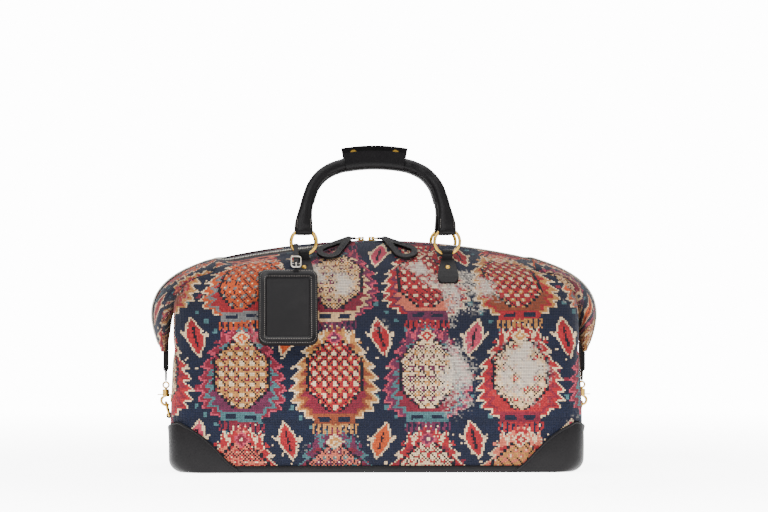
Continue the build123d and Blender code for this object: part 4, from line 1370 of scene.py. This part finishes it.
@dataclass
class LuggageTag:
    """The raised border and stitching of the tag, on the CAD case.

    Attributes:
        lean: How far it leans out from upright, in degrees.
        half_width: Half the case's width.
        half_height: Half its length.
        border: Width of the border at its sides.
        head: Width of the border at its top.
        foot: Width of the border at its foot.
    """

    lean: float = 34.0
    half_width: float = 36.0
    half_height: float = 54.0
    border: float = 9.5
    head: float = 12.0
    foot: float = 9.5

    def build(self) -> None:
        """Builds the border plate and its two rows of stitches."""
        low, high = (np.array(corner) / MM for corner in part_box("tag_case"))
        middle = (low + high) / 2
        half_inner = (2 * self.half_height - self.head - self.foot) / 2
        inner_shift = np.array([0.0, (self.foot - self.head) / 2])
        count = 160
        outer = rounded_loop(self.half_width - 0.4, self.half_height - 0.4, 11.0, count)
        half_across = self.half_width - self.border
        inner = rounded_loop(half_across, half_inner, 2.5, count) + inner_shift
        inner_in = rounded_loop(half_across - 0.7, half_inner - 0.7, 2.0, count) + inner_shift
        outer_in = rounded_loop(self.half_width - 1.2, self.half_height - 1.2, 10.2, count)
        loops = [(outer, 1.7), (outer, 2.2), (outer_in, 2.75),
                 (inner, 2.75), (inner_in, 2.2), (inner_in, 1.7)]
        rings = np.stack([self.lay(loop, rise, middle) for loop, rise in loops], axis=0)
        closed = np.concatenate([rings, rings[:1]])
        quads = grid_faces(len(closed), count, closed=True)
        border = outward(make_mesh("tag_border", closed.reshape(-1, 3), quads))
        place(border, "tag", Finish.SMOOTH)
        rows = []
        for wide, tall, radius, shift, rise in (
                (self.half_width - (self.border - 1.9), half_inner + 1.9, 3.0, inner_shift, 2.75),
                (self.half_width - 2.0, self.half_height - 2.0, 9.5, 0 * inner_shift, 2.7)):
            loop = rounded_loop(wide, tall, radius, 400) + shift
            path = self.lay(np.concatenate([loop, loop[:1]]), rise, middle)
            rows.append(stitched("stitch_row", path, self.facing(), 3.0, 2.1, 0.34))
        place(joined("tag_stitches", rows), "tag", Finish.THREAD)

    def facing(self) -> np.ndarray:
        """The direction the tag faces."""
        angle = np.radians(self.lean)
        return np.array([0.0, -np.cos(angle), np.sin(angle)])

    def lay(self, loop: np.ndarray, rise: float, middle: np.ndarray) -> np.ndarray:
        """Points drawn flat, laid on the tag's face a rise above its middle plane."""
        angle = np.radians(self.lean)
        up = np.array([0.0, np.sin(angle), np.cos(angle)])
        return middle + loop[:, :1] * np.array([1.0, 0, 0]) + loop[:, 1:] * up + self.facing() * rise


@dataclass
class FrameNodes:
    """Finishes of the CAD nodes that show as they are."""

    def build(self) -> None:
        """Gives every shown CAD node its finish by its name."""
        for name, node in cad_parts.items():
            finish = self.finish(name)
            node.data.materials.clear()
            node.data.materials.append(finish.material())

    @staticmethod
    def finish(name: str) -> Finish:
        """The finish that goes with a node's name."""
        for start, finish in (
                ("carpet", Finish.CARPET), ("gusset", Finish.CARPET), ("base_board", Finish.BOARD),
                ("lining", Finish.LINING), ("zip_tape", Finish.TAPE), ("zip_teeth", Finish.TEETH),
                ("zip_slider", Finish.BRASS), ("pull_shackle", Finish.BRASS), ("ring", Finish.BRASS),
                ("chape_rivets", Finish.BRASS), ("handle_cord", Finish.CORD), ("keeper_snaps", Finish.BRASS),
                ("buckle", Finish.NICKEL), ("tag_card", Finish.CARD), ("d_ring", Finish.BRASS),
                ("link", Finish.DARK), ("swivel_eye", Finish.BRASS), ("snap_hook", Finish.BRASS),
                ("trigger", Finish.BRASS)):
            if name.startswith(start):
                return finish
        return Finish.SMOOTH if name.startswith("tag") else Finish.LEATHER


@dataclass
class Studio:
    """Pale floor, soft light and the camera.

    Attributes:
        aim: Where the camera looks.
        distance: How far off it stands.
        turn: How far it stands round to the left, in degrees.
        lens: Focal length on a 36 mm sensor.
        sky: Strength of the light from all round.
        backdrop: Brightness of what is seen behind the bag.
        floor_glow: How brightly the paper floor glows by itself.
        floor_half: Half the floor's side.
        floor_drop: How far it lies below the bag's foot.
        fade_start: Distance from the middle where the floor starts to fade, in metres.
        fade_rate: How fast it fades for each metre after that.
        lights: Name, place, size and power of each lamp.
    """

    aim: tuple[float, float, float] = (8.0, -115.0, 262.0)
    distance: float = 4000.0
    turn: float = 2.0
    lens: float = 155.2
    sky: float = 0.75
    backdrop: float = 14.0
    floor_glow: float = 7.0
    floor_half: float = 6000.0
    floor_drop: float = 0.2
    fade_start: float = 0.45
    fade_rate: float = 0.9
    lights: tuple[tuple[str, tuple[float, float, float], float, float], ...] = (
        ("key", (-900, -1500, 1500), 1200, 55), ("fill", (1300, -1200, 900), 1300, 22),
        ("top", (0, 0, 1900), 1500, 60), ("back", (200, 1500, 1100), 1400, 25))

    def build(self) -> None:
        """Builds the floor, the world, the lights and the camera."""
        square = np.array([[-1.0, -1.0, 0.0], [1.0, -1.0, 0.0], [1.0, 1.0, 0.0], [-1.0, 1.0, 0.0]])
        corners = square * self.floor_half - np.array([0.0, 0.0, self.floor_drop])
        floor = make_mesh("studio_floor", corners, np.array([[0, 1, 2, 3]]))
        graph = Graph("pale_floor")
        spread = graph.node("ShaderNodeVectorMath", {"operation": "LENGTH"}, {0: graph.place()},
                            output="Value")
        paper = {"Base Color": (0.55, 0.55, 0.55), "Roughness": 0.9, "Emission Color": (1.0, 1.0, 1.0),
                 "Alpha": (1.0 - (spread - self.fade_start) * self.fade_rate).clamped()}
        floor.data.materials.append(graph.dress(paper, {"Emission Strength": self.floor_glow}))
        world = bpy.data.worlds.new("studio_world")
        world.use_nodes = True
        tree = world.node_tree
        path = tree.nodes.new("ShaderNodeLightPath")
        level = tree.nodes.new("ShaderNodeMapRange")
        level.inputs["To Min"].default_value, level.inputs["To Max"].default_value = self.sky, self.backdrop
        tree.links.new(path.outputs["Is Camera Ray"], level.inputs["Value"])
        tree.links.new(level.outputs["Result"], tree.nodes["Background"].inputs["Strength"])
        tree.nodes["Background"].inputs["Color"].default_value = (1.0, 1.0, 1.0, 1.0)
        bpy.context.scene.world = world
        aim = Vector(self.aim) * MM
        for name, spot, size, power in self.lights:
            lamp = bpy.data.lights.new(name, "AREA")
            lamp.size, lamp.energy = size * MM, power
            made = bpy.data.objects.new(name, lamp)
            made.location = Vector(spot) * MM
            made.rotation_euler = (aim - made.location).to_track_quat("-Z", "Y").to_euler()
            bpy.context.scene.collection.objects.link(made)
        angle = np.radians(self.turn)
        camera = bpy.data.objects.new("camera", bpy.data.cameras.new("camera"))
        camera.data.lens, camera.data.sensor_width = self.lens, 36.0
        back = Vector((-float(np.sin(angle)), -float(np.cos(angle)), 0.0))
        camera.location = aim + back * self.distance * MM
        camera.rotation_euler = (-back).to_track_quat("-Z", "Y").to_euler()
        bpy.context.scene.collection.objects.link(camera)
        bpy.context.scene.camera = camera


def main() -> None:
    """Builds the bag's pieces in order."""
    logging.basicConfig(level=logging.INFO, format="%(message)s")
    FrameNodes().build()
    for assembly in (CarpetShell(), Lining(), Ears(), Zip(), LeatherTrim(), Handles(), LuggageTag(),
                     Studio()):
        assembly.build()


if __name__ == "__main__":
    main()
